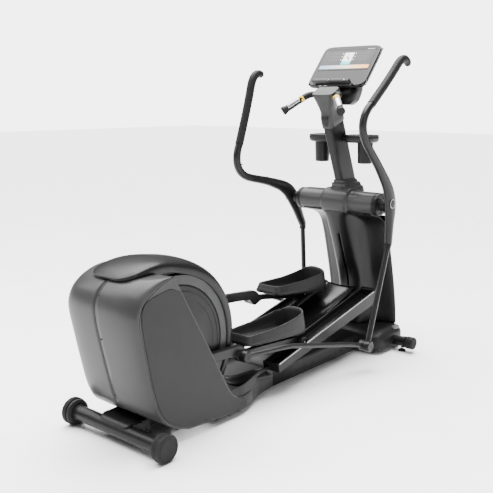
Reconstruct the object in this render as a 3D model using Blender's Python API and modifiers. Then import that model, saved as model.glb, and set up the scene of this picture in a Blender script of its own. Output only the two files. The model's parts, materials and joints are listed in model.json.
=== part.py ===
"""Rear-drive elliptical trainer: frame, drive housing, foot links on inclined rails, swing arms, console.

Frame: metres, +X to the user's right, +Y forward (towards the console), +Z up, floor at Z = 0.
Lengths along Y are given as distances forward of the rear stabiliser and placed by fore().
"""
from math import atan2, cos, hypot, pi, radians, sin

import bmesh
import bpy
from mathutils import Matrix

# ---------------------------------------------------------------- driving dimensions
GAP = 0.0003
REAR_Y = -0.975

REAR_TUBE_RADIUS = 0.036
REAR_FOOT_RADIUS = 0.064
REAR_FOOT_LENGTH = 0.054
REAR_HALF_WIDTH = 0.327

FRONT_AXIS = (1.949, 0.060)
FRONT_TUBE_RADIUS = 0.030
FRONT_HALF_WIDTH = 0.362
WHEEL_RADIUS = 0.037

BEAM_HALF_WIDTH = 0.040
BEAM_Z = (0.036, 0.092)

HOUSING_HALF_WIDTH = 0.230
WALL = 0.004
CASING_HALF_WIDTH = 0.120
CRANK_AXIS = (0.250, 0.390)
CASING_RADIUS = 0.345
CRANK_DISC_RADIUS = 0.270
PULLEY_RADIUS = 0.170
FLYWHEEL_AXIS = (0.455, 0.235)
FLYWHEEL_RADIUS = 0.095
FLYWHEEL_PULLEY_RADIUS = 0.028
AXLE_RADIUS = 0.0125

RAIL_SLOPE = radians(13.0)
RAIL_START = (0.875, 0.1763)
RAIL_LENGTH = 0.935
RAIL_INNER = 0.125
RAIL_OUTER = 0.225
RAIL_DEPTH = (0.045, 0.078)
TRACK_DEPTH = 0.030

LINK_INNER = 0.145
LINK_OUTER = 0.175
ROLLER_RADIUS = 0.028
ROLLER_AXLE_RADIUS = 0.008
ROLLER_AXLE_REST = 0.250
LINK_REAR_EYE = (0.060, 0.322)
ROD_PIVOT = (0.646, 0.273)
PEDAL_CENTRE_X = 0.103
PEDAL_HALF_WIDTH = 0.090
PEDAL_REAR = 0.692
PEDAL_FRONT = 1.162

PIVOT_AXIS = (1.735, 0.910)
PIVOT_HALF_WIDTH = 0.278
PIVOT_COVER_RADIUS = 0.064
PIVOT_SADDLE_RADIUS = 0.078
SHAFT_RADIUS = 0.020
ARM_X = 0.345
ARM_EYE = (-0.0919, -0.7907)
ARM_SPLAY = 0.034
ARM_SLEEVE_END = -0.206
ARM_REST_RIGHT = radians(-12.5)
ARM_REST_LEFT = radians(20.5)
STRIDE_PER_RADIAN = 0.864
LEFT_LINK_TILT = radians(-2.0)

MAST_LEAN = radians(22.4)
MAST_FOOT = (1.795, 1.021)
MAST_LENGTH = 0.372
MAST_HALF = (0.0285, 0.070)

CONSOLE_HALF_WIDTH = 0.196
CONSOLE_FOOT = (1.648, 1.577)
CONSOLE_HEAD = (1.848, 1.810)
CONSOLE_THICKNESS = 0.030

CUP_CENTRE = (0.149, 1.760, 1.278)
CUP_RADIUS = 0.041
CUP_HEIGHT = 0.140

# ---------------------------------------------------------------- scene and materials
for old in list(bpy.data.objects):
    bpy.data.objects.remove(old, do_unlink=True)

PARTS = bpy.data.collections.new("elliptical_trainer")
CUTTERS = bpy.data.collections.new("cutters")
bpy.context.scene.collection.children.link(PARTS)
bpy.context.scene.collection.children.link(CUTTERS)

FINISHES = {
    "shell": ((0.115, 0.115, 0.120, 1), 0.38, 0.10),
    "panel": ((0.060, 0.060, 0.062, 1), 0.42, 0.10),
    "black": ((0.015, 0.015, 0.016, 1), 0.50, 0.00),
    "frame": ((0.045, 0.045, 0.048, 1), 0.40, 0.50),
    "steel": ((0.420, 0.420, 0.430, 1), 0.30, 0.95),
    "rubber": ((0.020, 0.020, 0.020, 1), 0.80, 0.00),
    "grip": ((0.030, 0.030, 0.031, 1), 0.70, 0.00),
    "glass": ((0.050, 0.052, 0.055, 1), 0.12, 0.00),
}


def finish(name, kind):
    """A Principled material of its own for one part."""
    colour, roughness, metallic = FINISHES[kind]
    material = bpy.data.materials.new(name)
    material.use_nodes = True
    shader = material.node_tree.nodes["Principled BSDF"]
    shader.inputs["Base Color"].default_value = colour
    shader.inputs["Roughness"].default_value = roughness
    shader.inputs["Metallic"].default_value = metallic
    return material


# ---------------------------------------------------------------- modelling helpers
def fore(distance):
    """World Y of a point this far forward of the rear stabiliser."""
    return REAR_Y + distance


def place(name, data, kind, collection=None):
    """Link a mesh or curve as a named object with its own material."""
    part = bpy.data.objects.new(name, data)
    (collection or PARTS).objects.link(part)
    if collection is None:
        data.materials.append(finish(name, kind))
    else:
        part.hide_render = True
        part.display_type = "WIRE"
    return part


def mesh_from(bm, name):
    bmesh.ops.recalc_face_normals(bm, faces=bm.faces)
    mesh = bpy.data.meshes.new(name)
    bm.to_mesh(mesh)
    bm.free()
    return mesh


def smooth(part, angle=35):
    part.data.shade_smooth()
    part.data.set_sharp_from_angle(angle=radians(angle))
    return part


def block(name, size, centre, kind, tilt=0.0, bevel=0.0, collection=None):
    """A box of this size, tilted about X, with its edges bevelled."""
    bm = bmesh.new()
    bmesh.ops.create_cube(bm, size=1.0)
    bmesh.ops.scale(bm, vec=size, verts=bm.verts)
    part = place(name, mesh_from(bm, name), kind, collection)
    part.location = (centre[0], fore(centre[1]), centre[2])
    part.rotation_euler = (tilt, 0, 0)
    if bevel:
        rounding = part.modifiers.new("rounding", "BEVEL")
        rounding.width = bevel
        rounding.segments = 2
    return part


def disc(name, radius, x_from, x_to, axis, kind, sides=32, bevel=0.0, collection=None):
    """A round piece lying along X between two stations."""
    bm = bmesh.new()
    bmesh.ops.create_cone(
        bm, cap_ends=True, segments=sides, radius1=radius, radius2=radius, depth=abs(x_to - x_from)
    )
    bmesh.ops.rotate(bm, cent=(0, 0, 0), matrix=Matrix.Rotation(pi / 2, 3, "Y"), verts=bm.verts)
    part = place(name, mesh_from(bm, name), kind, collection)
    part.location = ((x_from + x_to) / 2, fore(axis[0]), axis[1])
    if bevel:
        rounding = part.modifiers.new("rounding", "BEVEL")
        rounding.width = bevel
        rounding.segments = 2
        rounding.limit_method = "ANGLE"
        rounding.angle_limit = radians(40)
    return part


def turned(name, profile, axis, kind, side=1, steps=32):
    """A profile of (x, radius) turned about a line along X; side -1 mirrors it to the left."""
    area = sum(a[0] * b[1] - b[0] * a[1] for a, b in zip(profile, profile[1:] + profile[:1]))
    if area < 0:
        profile = profile[::-1]
    mesh = bpy.data.meshes.new(name)
    bm = bmesh.new()
    points = [bm.verts.new((radius, 0, station)) for station, radius in profile]
    closed = all(radius > 0 for station, radius in profile)
    for first, second in zip(points, points[1:] + points[:1] if closed else points[1:]):
        bm.edges.new((first, second))
    bm.to_mesh(mesh)
    bm.free()
    part = place(name, mesh, kind)
    turning = part.modifiers.new("turning", "SCREW")
    turning.steps = steps
    turning.render_steps = steps
    turning.use_merge_vertices = True
    turning.merge_threshold = 0.00005
    part.rotation_euler = (0, side * pi / 2, 0)
    part.location = (0, fore(axis[0]), axis[1])
    return part


def plate(name, outline, x_from, x_to, kind, holes=(), collection=None):
    """A flat piece in the YZ plane; outline and holes are lists of (y, z)."""
    curve = bpy.data.curves.new(name, "CURVE")
    curve.dimensions = "2D"
    curve.fill_mode = "BOTH"
    curve.extrude = abs(x_to - x_from) / 2
    for loop in (outline, *holes):
        spline = curve.splines.new("POLY")
        spline.points.add(len(loop) - 1)
        for point, (y, z) in zip(spline.points, loop):
            point.co = (fore(y), z, 0, 1)
        spline.use_cyclic_u = True
    part = place(name, curve, kind, collection)
    part.matrix_world = Matrix(((0, 0, 1, (x_from + x_to) / 2), (1, 0, 0, 0), (0, 1, 0, 0), (0, 0, 0, 1)))
    return part


def solid(part, kind):
    """Turn a curve object into a welded mesh object of the same name and place."""
    bpy.context.view_layer.update()
    graph = bpy.context.evaluated_depsgraph_get()
    mesh = bpy.data.meshes.new_from_object(part.evaluated_get(graph))
    bm = bmesh.new()
    bm.from_mesh(mesh)
    bmesh.ops.remove_doubles(bm, verts=bm.verts, dist=0.00005)
    bm.to_mesh(mesh)
    bm.free()
    name = part.name
    matrix = part.matrix_world.copy()
    bpy.data.objects.remove(part, do_unlink=True)
    mesh.materials.clear()
    made = place(name, mesh, kind)
    made.matrix_world = matrix
    return made


def tube(name, points, radius, kind, resolution=3, collection=None):
    """A round bar through (x, y, z) points, with filled ends."""
    curve = bpy.data.curves.new(name, "CURVE")
    curve.dimensions = "3D"
    curve.bevel_depth = radius
    curve.bevel_resolution = resolution
    curve.use_fill_caps = True
    spline = curve.splines.new("POLY")
    spline.points.add(len(points) - 1)
    for point, (x, y, z) in zip(spline.points, points):
        point.co = (x, fore(y), z, 1)
    return place(name, curve, kind, collection)


def loft(name, rings, kind, collection=None, capped=True):
    """A closed body through rings of (x, y, z) points of equal count."""
    bm = bmesh.new()
    rows = [[bm.verts.new((x, fore(y), z)) for x, y, z in ring] for ring in rings]
    count = len(rows[0])
    for low, high in zip(rows, rows[1:]):
        for k in range(count):
            bm.faces.new((low[k], low[(k + 1) % count], high[(k + 1) % count], high[k]))
    if capped:
        bm.faces.new(rows[0][::-1])
        bm.faces.new(rows[-1])
    return smooth(place(name, mesh_from(bm, name), kind, collection))


def sheet(name, rows, thickness, kind):
    """An open surface through rows of points, thickened inwards into a shell."""
    bm = bmesh.new()
    grid = [[bm.verts.new((x, fore(y), z)) for x, y, z in row] for row in rows]
    for low, high in zip(grid, grid[1:]):
        for k in range(len(low) - 1):
            bm.faces.new((low[k], low[k + 1], high[k + 1], high[k]))
    mesh = bpy.data.meshes.new(name)
    bm.to_mesh(mesh)
    bm.free()
    part = smooth(place(name, mesh, kind))
    walls = part.modifiers.new("walls", "SOLIDIFY")
    walls.thickness = thickness
    walls.offset = -1
    return part


def boolean(part, other, operation):
    change = part.modifiers.new(operation.lower(), "BOOLEAN")
    change.operation = operation
    change.solver = "EXACT"
    change.object = other
    return part


def superellipse(half_u, half_v, power, count):
    """Points of a rounded box outline, from +u round through +v."""
    points = []
    for k in range(count):
        angle = 2 * pi * k / count
        u = abs(cos(angle)) ** (2 / power) * half_u * (1 if cos(angle) >= 0 else -1)
        v = abs(sin(angle)) ** (2 / power) * half_v * (1 if sin(angle) >= 0 else -1)
        points.append((u, v))
    return points


def section(centre, direction, half_x, half_v, power=2.6, count=16):
    """A ring across a path in the YZ plane: half_x wide, half_v to each side of the path."""
    x, y, z = centre
    run = hypot(*direction)
    across = (-direction[1] / run, direction[0] / run)
    outline = superellipse(half_x, half_v, power, count)
    return [(x + u, y + across[0] * v, z + across[1] * v) for u, v in outline]


def arc(centre, radius, start, stop, count):
    """Points of a round stretch in the YZ plane, angles in degrees from +Y."""
    angles = [radians(start + (stop - start) * k / (count - 1)) for k in range(count)]
    return [(centre[0] + radius * cos(a), centre[1] + radius * sin(a)) for a in angles]


def circle(centre, radius, count=24):
    return arc(centre, radius, 0, 360 - 360 / count, count)


def turn(point, centre, angle):
    """Rotate a (y, z) point about a centre, positive angles carrying +Y towards +Z."""
    y, z = point[0] - centre[0], point[1] - centre[1]
    return (centre[0] + y * cos(angle) - z * sin(angle), centre[1] + y * sin(angle) + z * cos(angle))


def up_rail(distance, height=0.0):
    """A (y, z) point this far up the rail from its rear end, this high over its top edge."""
    return (
        RAIL_START[0] + distance * cos(RAIL_SLOPE) - height * sin(RAIL_SLOPE),
        RAIL_START[1] + distance * sin(RAIL_SLOPE) + height * cos(RAIL_SLOPE),
    )


def side_name(side):
    return "right" if side > 0 else "left"


def hang(name, names, axis, x=0.0):
    """Parent pieces that move together to an empty on their joint's axis."""
    joint = bpy.data.objects.new(name, None)
    joint.location = (x, fore(axis[0]), axis[1])
    joint.empty_display_size = 0.05
    PARTS.objects.link(joint)
    for part in (bpy.data.objects[piece] for piece in names):
        part.parent = joint
        part.matrix_parent_inverse = Matrix.Translation(joint.location).inverted()


def between(table, key):
    """Read a value from (key, value) stations by straight interpolation."""
    for (low, first), (high, second) in zip(table, table[1:]):
        if low <= key <= high:
            return first + (second - first) * (key - low) / (high - low)
    return table[0][1] if key < table[0][0] else table[-1][1]


# ---------------------------------------------------------------- rear stabiliser and base
def build_rear_stabiliser():
    axis = (0.0, REAR_FOOT_RADIUS)
    inner = REAR_HALF_WIDTH - REAR_FOOT_LENGTH
    disc("rear_stabiliser", REAR_TUBE_RADIUS, -inner + GAP, inner - GAP, axis, "frame", 28)
    foot = [
        (inner, 0.0), (inner, 0.050), (inner + 0.006, 0.058), (inner + 0.020, 0.060),
        (inner + 0.024, 0.056), (inner + 0.028, 0.064), (inner + 0.050, 0.064),
        (REAR_HALF_WIDTH, 0.059), (REAR_HALF_WIDTH, 0.0),
    ]
    for side in (1, -1):
        turned("rear_foot_" + side_name(side), foot, axis, "rubber", side, 36)


def build_base():
    rear_end = REAR_TUBE_RADIUS + GAP
    front_end = FRONT_AXIS[0] - FRONT_TUBE_RADIUS - GAP
    length = front_end - rear_end
    height = BEAM_Z[1] - BEAM_Z[0]
    middle = (0, rear_end + length / 2, BEAM_Z[0] + height / 2)
    block("main_beam", (2 * BEAM_HALF_WIDTH, length, height), middle, "frame")

    def channel(y, half_width, top, bottom=0.030, corner=0.020):
        bend = corner * (1 - cos(pi / 4))
        half = [(half_width, bottom), (half_width, top - corner), (half_width - bend, top - bend),
                (half_width - corner, top), (0.0, top)]
        return [(-x, y, z) for x, z in half] + [(x, y, z) for x, z in half[-2::-1]]

    skirt = [
        (0.400, 0.2245, 0.100), (0.612, 0.2245, 0.100), (0.690, 0.205, 0.104), (0.790, 0.170, 0.115),
        (0.918, 0.150, 0.126),
    ]
    sheet("base_skirt", [channel(y, w, top) for y, w, top in skirt], WALL, "panel")
    cover = [(0.920, 0.150, 0.126), (1.735, 0.150, 0.126)]
    sheet("base_cover", [channel(y, w, top) for y, w, top in cover], WALL, "panel")


def build_rails():
    lip = 0.010
    for side in (1, -1):
        rings = []
        for distance, depth in zip((0.0, RAIL_LENGTH), RAIL_DEPTH):
            profile = [
                (RAIL_INNER, -depth), (RAIL_OUTER, -depth), (RAIL_OUTER, 0.0), (RAIL_OUTER - lip, 0.0),
                (RAIL_OUTER - lip, -TRACK_DEPTH), (RAIL_INNER + lip, -TRACK_DEPTH), (RAIL_INNER + lip, 0.0),
                (RAIL_INNER, 0.0),
            ]
            rings.append([(side * x, *up_rail(distance, height)) for x, height in profile])
        loft("rail_" + side_name(side), rings, "panel")
    half_width = RAIL_INNER - 0.025
    rows = []
    for distance, edge, dip in ((0.250, -0.030, 0.020), (0.450, -0.022, 0.030), (0.650, -0.016, 0.036),
                                (0.800, -0.006, 0.026), (0.930, 0.010, 0.010)):
        row = []
        for k in range(9):
            x = half_width * (1 - k / 4)
            y, z = up_rail(distance, edge - dip * (1 - (x / half_width) ** 2))
            row.append((x, y, z))
        rows.append(row)
    sheet("ramp_cover", rows, WALL, "black")


# ---------------------------------------------------------------- drive housing
# rear outline of the shell: (y, z) on the centre line, then (y, z) where it meets the side
SHELL_PROFILE = [
    ((0.062, 0.128), (0.153, 0.073)), ((0.025, 0.160), (0.076, 0.127)), ((-0.005, 0.209), (0.032, 0.215)),
    ((-0.035, 0.320), (0.003, 0.320)), ((-0.078, 0.500), (-0.034, 0.495)), ((-0.096, 0.595), (-0.053, 0.585)),
    ((-0.097, 0.650), (-0.050, 0.632)), ((-0.076, 0.700), (-0.028, 0.675)), ((-0.042, 0.728), (0.018, 0.713)),
    ((-0.014, 0.743), (0.078, 0.744)), ((0.018, 0.754), (0.139, 0.766)), ((0.126, 0.764), (0.150, 0.768)),
]
PANEL_FRONT = [
    (0.227, 0.051), (0.426, 0.038), (0.610, 0.030), (0.610, 0.090), (0.560, 0.100), (0.519, 0.126),
    (0.486, 0.172), (0.381, 0.358), (0.150, 0.762),
]
PANEL_MIDDLE = (0.22, 0.40)
PANEL_INSET = 0.03


def build_housing():
    power = 2.5
    columns = 8
    for side in (1, -1):
        rows = []
        for (y0, z0), (y1, z1) in SHELL_PROFILE:
            row = []
            for k in range(columns + 1):
                turn_angle = (pi / 2) * k / columns
                x = HOUSING_HALF_WIDTH * sin(turn_angle) ** (2 / power) if k else GAP / 2
                crown = cos(turn_angle) ** (2 / power) if k < columns else 0.0
                row.append((side * x, y1 + (y0 - y1) * crown, z1 + (z0 - z1) * crown))
            rows.append(row if side > 0 else row[::-1])
        sheet("rear_shell_" + side_name(side), rows, WALL, "shell")
        rear = [
            (y + (PANEL_MIDDLE[0] - y) * PANEL_INSET, z + (PANEL_MIDDLE[1] - z) * PANEL_INSET)
            for y, z in (edge for centre, edge in SHELL_PROFILE)
        ]
        outline = rear[-3::-1] + PANEL_FRONT
        plate(
            "side_panel_" + side_name(side), outline,
            side * (HOUSING_HALF_WIDTH - WALL), side * HOUSING_HALF_WIDTH, "panel",
        )
        casing = (
            [(0.105, 0.112), (0.490, 0.112)]
            + arc(CRANK_AXIS, CASING_RADIUS, -46, 100, 22)
            + [(0.060, 0.712), (-0.020, 0.640), (-0.045, 0.560)]
            + [(-0.035, 0.480), (0.015, 0.300), (0.062, 0.180)]
        )
        plate(
            "casing_" + side_name(side), casing,
            side * (CASING_HALF_WIDTH - WALL), side * CASING_HALF_WIDTH, "panel",
            [circle(CRANK_AXIS, AXLE_RADIUS + 0.0010, 20), circle(FLYWHEEL_AXIS, 0.0090, 16)],
        )
    build_lid()


# stations of the lid: degrees round the crank axis, radius on the centre line, radius at its edge, half width
LID_STATIONS = [
    (127.4, 0.4720, 0.4710, 0.040), (126.6, 0.4725, 0.4675, 0.082), (124.5, 0.4710, 0.4590, 0.110),
    (121.0, 0.4660, 0.4460, 0.126), (116.0, 0.4580, 0.4310, 0.131), (110.0, 0.4490, 0.4150, 0.132),
    (103.0, 0.4380, 0.4010, 0.131), (96.0, 0.4280, 0.3850, 0.128), (88.0, 0.4190, 0.3680, 0.124),
    (76.0, 0.4130, 0.3580, 0.124), (62.0, 0.4120, 0.3560, 0.124), (48.0, 0.4140, 0.3560, 0.124),
    (34.0, 0.4160, 0.3560, 0.124), (20.0, 0.4160, 0.3560, 0.124), (6.0, 0.4140, 0.3560, 0.124),
    (-8.0, 0.4080, 0.3560, 0.124), (-22.0, 0.4020, 0.3560, 0.124), (-36.0, 0.3980, 0.3560, 0.124),
]


def build_lid():
    """Crowned cover that runs from the top of the shell over the round casing."""
    rows = []
    for angle, crown, edge, half_width in LID_STATIONS:
        row = []
        for k in range(11):
            phase = pi * k / 10
            x = half_width * cos(phase)
            radius = edge + (crown - edge) * sin(phase) ** 0.7
            y = CRANK_AXIS[0] + radius * cos(radians(angle))
            row.append((x, y, CRANK_AXIS[1] + radius * sin(radians(angle))))
        rows.append(row)
    sheet("top_lid", rows, WALL, "shell")


def build_drive():
    reach = CASING_HALF_WIDTH + 0.0195
    disc("crank_axle", AXLE_RADIUS, -reach + 0.0005, reach - 0.0005, CRANK_AXIS, "steel", 20)
    hole = AXLE_RADIUS + GAP
    pulley = [
        (0.040, hole), (0.040, 0.035), (0.047, 0.040), (0.047, PULLEY_RADIUS - 0.020),
        (0.040, PULLEY_RADIUS - 0.012),
        (0.040, PULLEY_RADIUS), (0.070, PULLEY_RADIUS), (0.070, PULLEY_RADIUS - 0.012),
        (0.063, PULLEY_RADIUS - 0.020), (0.063, 0.040), (0.070, 0.035), (0.070, hole),
    ]
    turned("drive_pulley", pulley, CRANK_AXIS, "black", 1, 40)
    face = CASING_HALF_WIDTH + 0.002
    crank = [
        (face, hole), (face, CRANK_DISC_RADIUS), (face + 0.004, CRANK_DISC_RADIUS),
        (face + 0.004, CRANK_DISC_RADIUS - 0.030), (face + 0.002, CRANK_DISC_RADIUS - 0.034),
        (face + 0.002, 0.070),
        (face + 0.016, 0.060), (face + 0.016, hole),
    ]
    for side in (1, -1):
        name = side_name(side)
        turned("crank_disc_" + name, crank, CRANK_AXIS, "panel", side, 40)
    spindle = [
        (-0.1155, 0.0), (-0.1155, 0.008), (-0.060, 0.008), (-0.060, FLYWHEEL_RADIUS),
        (-0.020, FLYWHEEL_RADIUS),
        (-0.020, 0.020), (0.040, 0.020), (0.040, FLYWHEEL_PULLEY_RADIUS), (0.070, FLYWHEEL_PULLEY_RADIUS),
        (0.070, 0.008), (0.1155, 0.008), (0.1155, 0.0),
    ]
    turned("flywheel", spindle, FLYWHEEL_AXIS, "steel", 1, 36)
    build_belt()


def build_belt():
    """Flat belt round the drive pulley and the flywheel's small pulley."""
    run = (FLYWHEEL_AXIS[0] - CRANK_AXIS[0], FLYWHEEL_AXIS[1] - CRANK_AXIS[1])
    heading = atan2(run[1], run[0]) * 180 / pi
    lean = 90 - atan2(PULLEY_RADIUS - FLYWHEEL_PULLEY_RADIUS, hypot(*run)) * 180 / pi

    def loop(extra):
        big = arc(CRANK_AXIS, PULLEY_RADIUS + extra, heading + lean, heading + 360 - lean, 30)
        small = arc(FLYWHEEL_AXIS, FLYWHEEL_PULLEY_RADIUS + extra, heading - lean, heading + lean, 8)
        return big + small

    plate("drive_belt", loop(0.004), 0.042, 0.068, "rubber", [loop(0.0012)])


# ---------------------------------------------------------------- front frame, tower and mast
FIN_Y = [(0.120, 1.860), (0.250, 1.880), (0.450, 1.838), (0.650, 1.762), (0.790, 1.706), (0.830, 1.700)]
WING_Y = [(0.120, 2.034), (0.250, 2.020), (0.383, 1.995), (0.640, 1.929), (0.830, 1.880)]
TOWER_LEVELS = (0.138, 0.200, 0.300, 0.400, 0.500, 0.600, 0.700, 0.770, 0.826)


def build_front():
    y, z = FRONT_AXIS
    disc("front_stabiliser", FRONT_TUBE_RADIUS, -FRONT_HALF_WIDTH, FRONT_HALF_WIDTH, FRONT_AXIS, "frame", 24)
    for side in (1, -1):
        name = side_name(side)
        start = FRONT_HALF_WIDTH + 0.003
        wheel = [
            (start, 0.0), (start, 0.030), (start + 0.004, WHEEL_RADIUS), (start + 0.022, WHEEL_RADIUS),
            (start + 0.024, WHEEL_RADIUS - 0.003), (start + 0.026, WHEEL_RADIUS),
            (start + 0.046, WHEEL_RADIUS),
            (start + 0.050, 0.032), (start + 0.050, 0.0),
        ]
        turned("transport_wheel_" + name, wheel, FRONT_AXIS, "rubber", side, 28)
        build_levelling_foot(side)
    block("front_upright", (0.080, 0.055, 0.700), (0, 1.908, 0.4600), "frame", radians(8.3))
    build_tower()
    build_pivot()


def build_levelling_foot(side):
    centre = (side * 0.335, FRONT_AXIS[0])
    base = bmesh.new()
    bmesh.ops.create_cone(base, cap_ends=True, segments=20, radius1=0.023, radius2=0.018, depth=0.012)
    foot = place("levelling_foot_" + side_name(side), mesh_from(base, "levelling_foot"), "rubber")
    foot.location = (centre[0], fore(centre[1]), 0.006)
    stem = bmesh.new()
    length = FRONT_AXIS[1] - FRONT_TUBE_RADIUS - 0.0085
    bmesh.ops.create_cone(stem, cap_ends=True, segments=12, radius1=0.006, radius2=0.006, depth=length)
    stud = place("stud_" + side_name(side), mesh_from(stem, "stud"), "steel", CUTTERS)
    stud.location = (centre[0], fore(centre[1]), 0.008 + length / 2)
    boolean(foot, stud, "UNION")


def build_tower():
    half = [(0.232, 0.0), (0.195, 0.18), (0.140, 0.36), (0.100, 0.52), (0.078, 0.70), (0.062, 0.88),
            (0.036, 0.98), (0.0, 1.0)]
    rear_rows, front_rows = [], []
    for level in TOWER_LEVELS:
        wing, fin = between(WING_Y, level), between(FIN_Y, level)
        right = [(x, wing + (fin - wing) * share, level) for x, share in half]
        rear_rows.append(right + [(-x, y, z) for x, y, z in right[-2::-1]])
        bulge = [(0.232, 0.0015), (0.224, 0.014), (0.190, 0.022), (0.120, 0.026), (0.0, 0.028)]
        right = [(x, wing + out, level) for x, out in bulge]
        front_rows.append(([(-x, y, z) for x, y, z in right[:-1]] + right[::-1]))
    sheet("tower_cover_rear", rear_rows, WALL, "black")
    sheet("tower_cover_front", front_rows, WALL, "panel")
    base = []
    for level, half_x, rear, front in ((0.030, 0.285, 1.745, 2.075), (0.096, 0.285, 1.745, 2.075),
                                       (0.124, 0.268, 1.765, 2.073), (0.1365, 0.245, 1.800, 2.066)):
        centre = (rear + front) / 2
        base.append([(u, centre + v, level) for u, v in superellipse(half_x, (front - rear) / 2, 6, 28)])
    cover = loft("front_base_cover", base, "panel", capped=False)
    walls = cover.modifiers.new("walls", "SOLIDIFY")
    walls.thickness = WALL
    walls.offset = -1
    slot_radius = FRONT_TUBE_RADIUS + 0.001
    slot = disc("stabiliser_slot", slot_radius, -0.320, 0.320, FRONT_AXIS, "frame", 24, 0, CUTTERS)
    boolean(cover, slot, "DIFFERENCE")
    middle = (BEAM_Z[0] + BEAM_Z[1]) / 2
    beam_size = (2 * BEAM_HALF_WIDTH + 0.002, 0.120, BEAM_Z[1] - BEAM_Z[0] + 0.002)
    slot = block("beam_slot", beam_size, (0, 1.745, middle), "frame", collection=CUTTERS)
    boolean(cover, slot, "DIFFERENCE")


def build_pivot():
    bore = SHAFT_RADIUS + GAP
    half = [(0.0, PIVOT_SADDLE_RADIUS), (0.055, PIVOT_SADDLE_RADIUS), (0.072, PIVOT_SADDLE_RADIUS - 0.006),
            (0.076, PIVOT_COVER_RADIUS), (PIVOT_HALF_WIDTH - 0.004, PIVOT_COVER_RADIUS),
            (PIVOT_HALF_WIDTH, PIVOT_COVER_RADIUS - 0.004), (PIVOT_HALF_WIDTH, bore)]
    profile = [(-x, radius) for x, radius in half[::-1]] + half[1:]
    turned("pivot_cover", profile, PIVOT_AXIS, "shell", 1, 32)
    disc("pivot_shaft", SHAFT_RADIUS, -0.3185, 0.3185, PIVOT_AXIS, "steel", 24)


def up_mast(distance, forward=0.0):
    """A (y, z) point this far up the mast from its foot, and this far forward of its centre line."""
    return (
        MAST_FOOT[0] - distance * sin(MAST_LEAN) + forward * cos(MAST_LEAN),
        MAST_FOOT[1] + distance * cos(MAST_LEAN) + forward * sin(MAST_LEAN),
    )


def build_mast():
    direction = (-sin(MAST_LEAN), cos(MAST_LEAN))
    collar_top = 0.030

    def ring(distance, half_x, half_v, power=5):
        return section((0.0, *up_mast(distance)), direction, half_x, half_v, power, 20)

    loft("mast_tube", [ring(collar_top + GAP, *MAST_HALF, 7), ring(MAST_LENGTH, *MAST_HALF, 7)], "frame")
    loft(
        "mast_collar",
        [ring(0.0, 0.060, 0.098), ring(0.018, 0.056, 0.094), ring(collar_top, 0.036, 0.074)], "shell",
    )
    top = MAST_LENGTH + GAP
    neck = [
        ring(top, 0.034, 0.070), ring(top + 0.055, 0.036, 0.070),
        section((0.0, 1.614, 1.462), (-0.30, 0.95), 0.044, 0.057, 4, 20),
        section((0.0, 1.596, 1.508), (-0.40, 0.90), 0.062, 0.056, 4, 20),
        section((0.0, 1.574, 1.540), (-0.50, 0.85), 0.073, 0.052, 4, 20),
    ]
    loft("console_neck", neck, "shell")


# ---------------------------------------------------------------- console, handlebars, cup holders
def on_console(across, up, out):
    """A point on the console: across to the right, up its slope, and out towards the user."""
    run = (CONSOLE_HEAD[0] - CONSOLE_FOOT[0], CONSOLE_HEAD[1] - CONSOLE_FOOT[1])
    length = hypot(*run)
    slope = (run[0] / length, run[1] / length)
    y = CONSOLE_FOOT[0] + slope[0] * up - slope[1] * out
    z = CONSOLE_FOOT[1] + slope[1] * up + slope[0] * out
    return (across, y, z)


def build_console():
    run = (CONSOLE_HEAD[0] - CONSOLE_FOOT[0], CONSOLE_HEAD[1] - CONSOLE_FOOT[1])
    height = hypot(*run)
    tilt = atan2(run[1], run[0]) - pi / 2
    body = []
    for out, inset in ((0.0, 0.003), (-0.004, 0.0), (-0.020, 0.0), (-CONSOLE_THICKNESS, 0.014)):
        ring = superellipse(CONSOLE_HALF_WIDTH - inset, height / 2 - inset, 9, 36)
        body.append([on_console(u, height / 2 + v, out) for u, v in ring])
    loft("console_body", body, "shell")
    y, z = on_console(0, 0.200, 0.0015)[1:]
    block("screen", (0.335, 0.0024, 0.165), (0, y, z), "glass", tilt)
    hump = [
        (0.085, 0.038, 1.714, 1.474, 0.0), (0.112, 0.047, 1.714, 1.500, 0.0),
        (0.128, 0.052, 1.718, 1.540, 0.2),
        (0.134, 0.050, 1.724, 1.600, 1.0),
    ]
    rings = [
        [(u, y + v, z + v * rise) for u, v in superellipse(half_x, half_y, 5, 24)]
        for half_x, half_y, y, z, rise in hump
    ]
    loft("speaker_housing", rings, "panel")
    y, z = on_console(0, 0.018, 0.016)[1:]
    block("control_bar", (0.250, 0.026, 0.034), (-0.020, y, z), "shell", tilt)
    for side, x in ((1, 0.075), (-1, -0.030)):
        y, z = on_console(0, 0.018, 0.0332)[1:]
        block("stride_key_" + side_name(side), (0.022, 0.004, 0.016), (x, y, z), "rubber", tilt)


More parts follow.
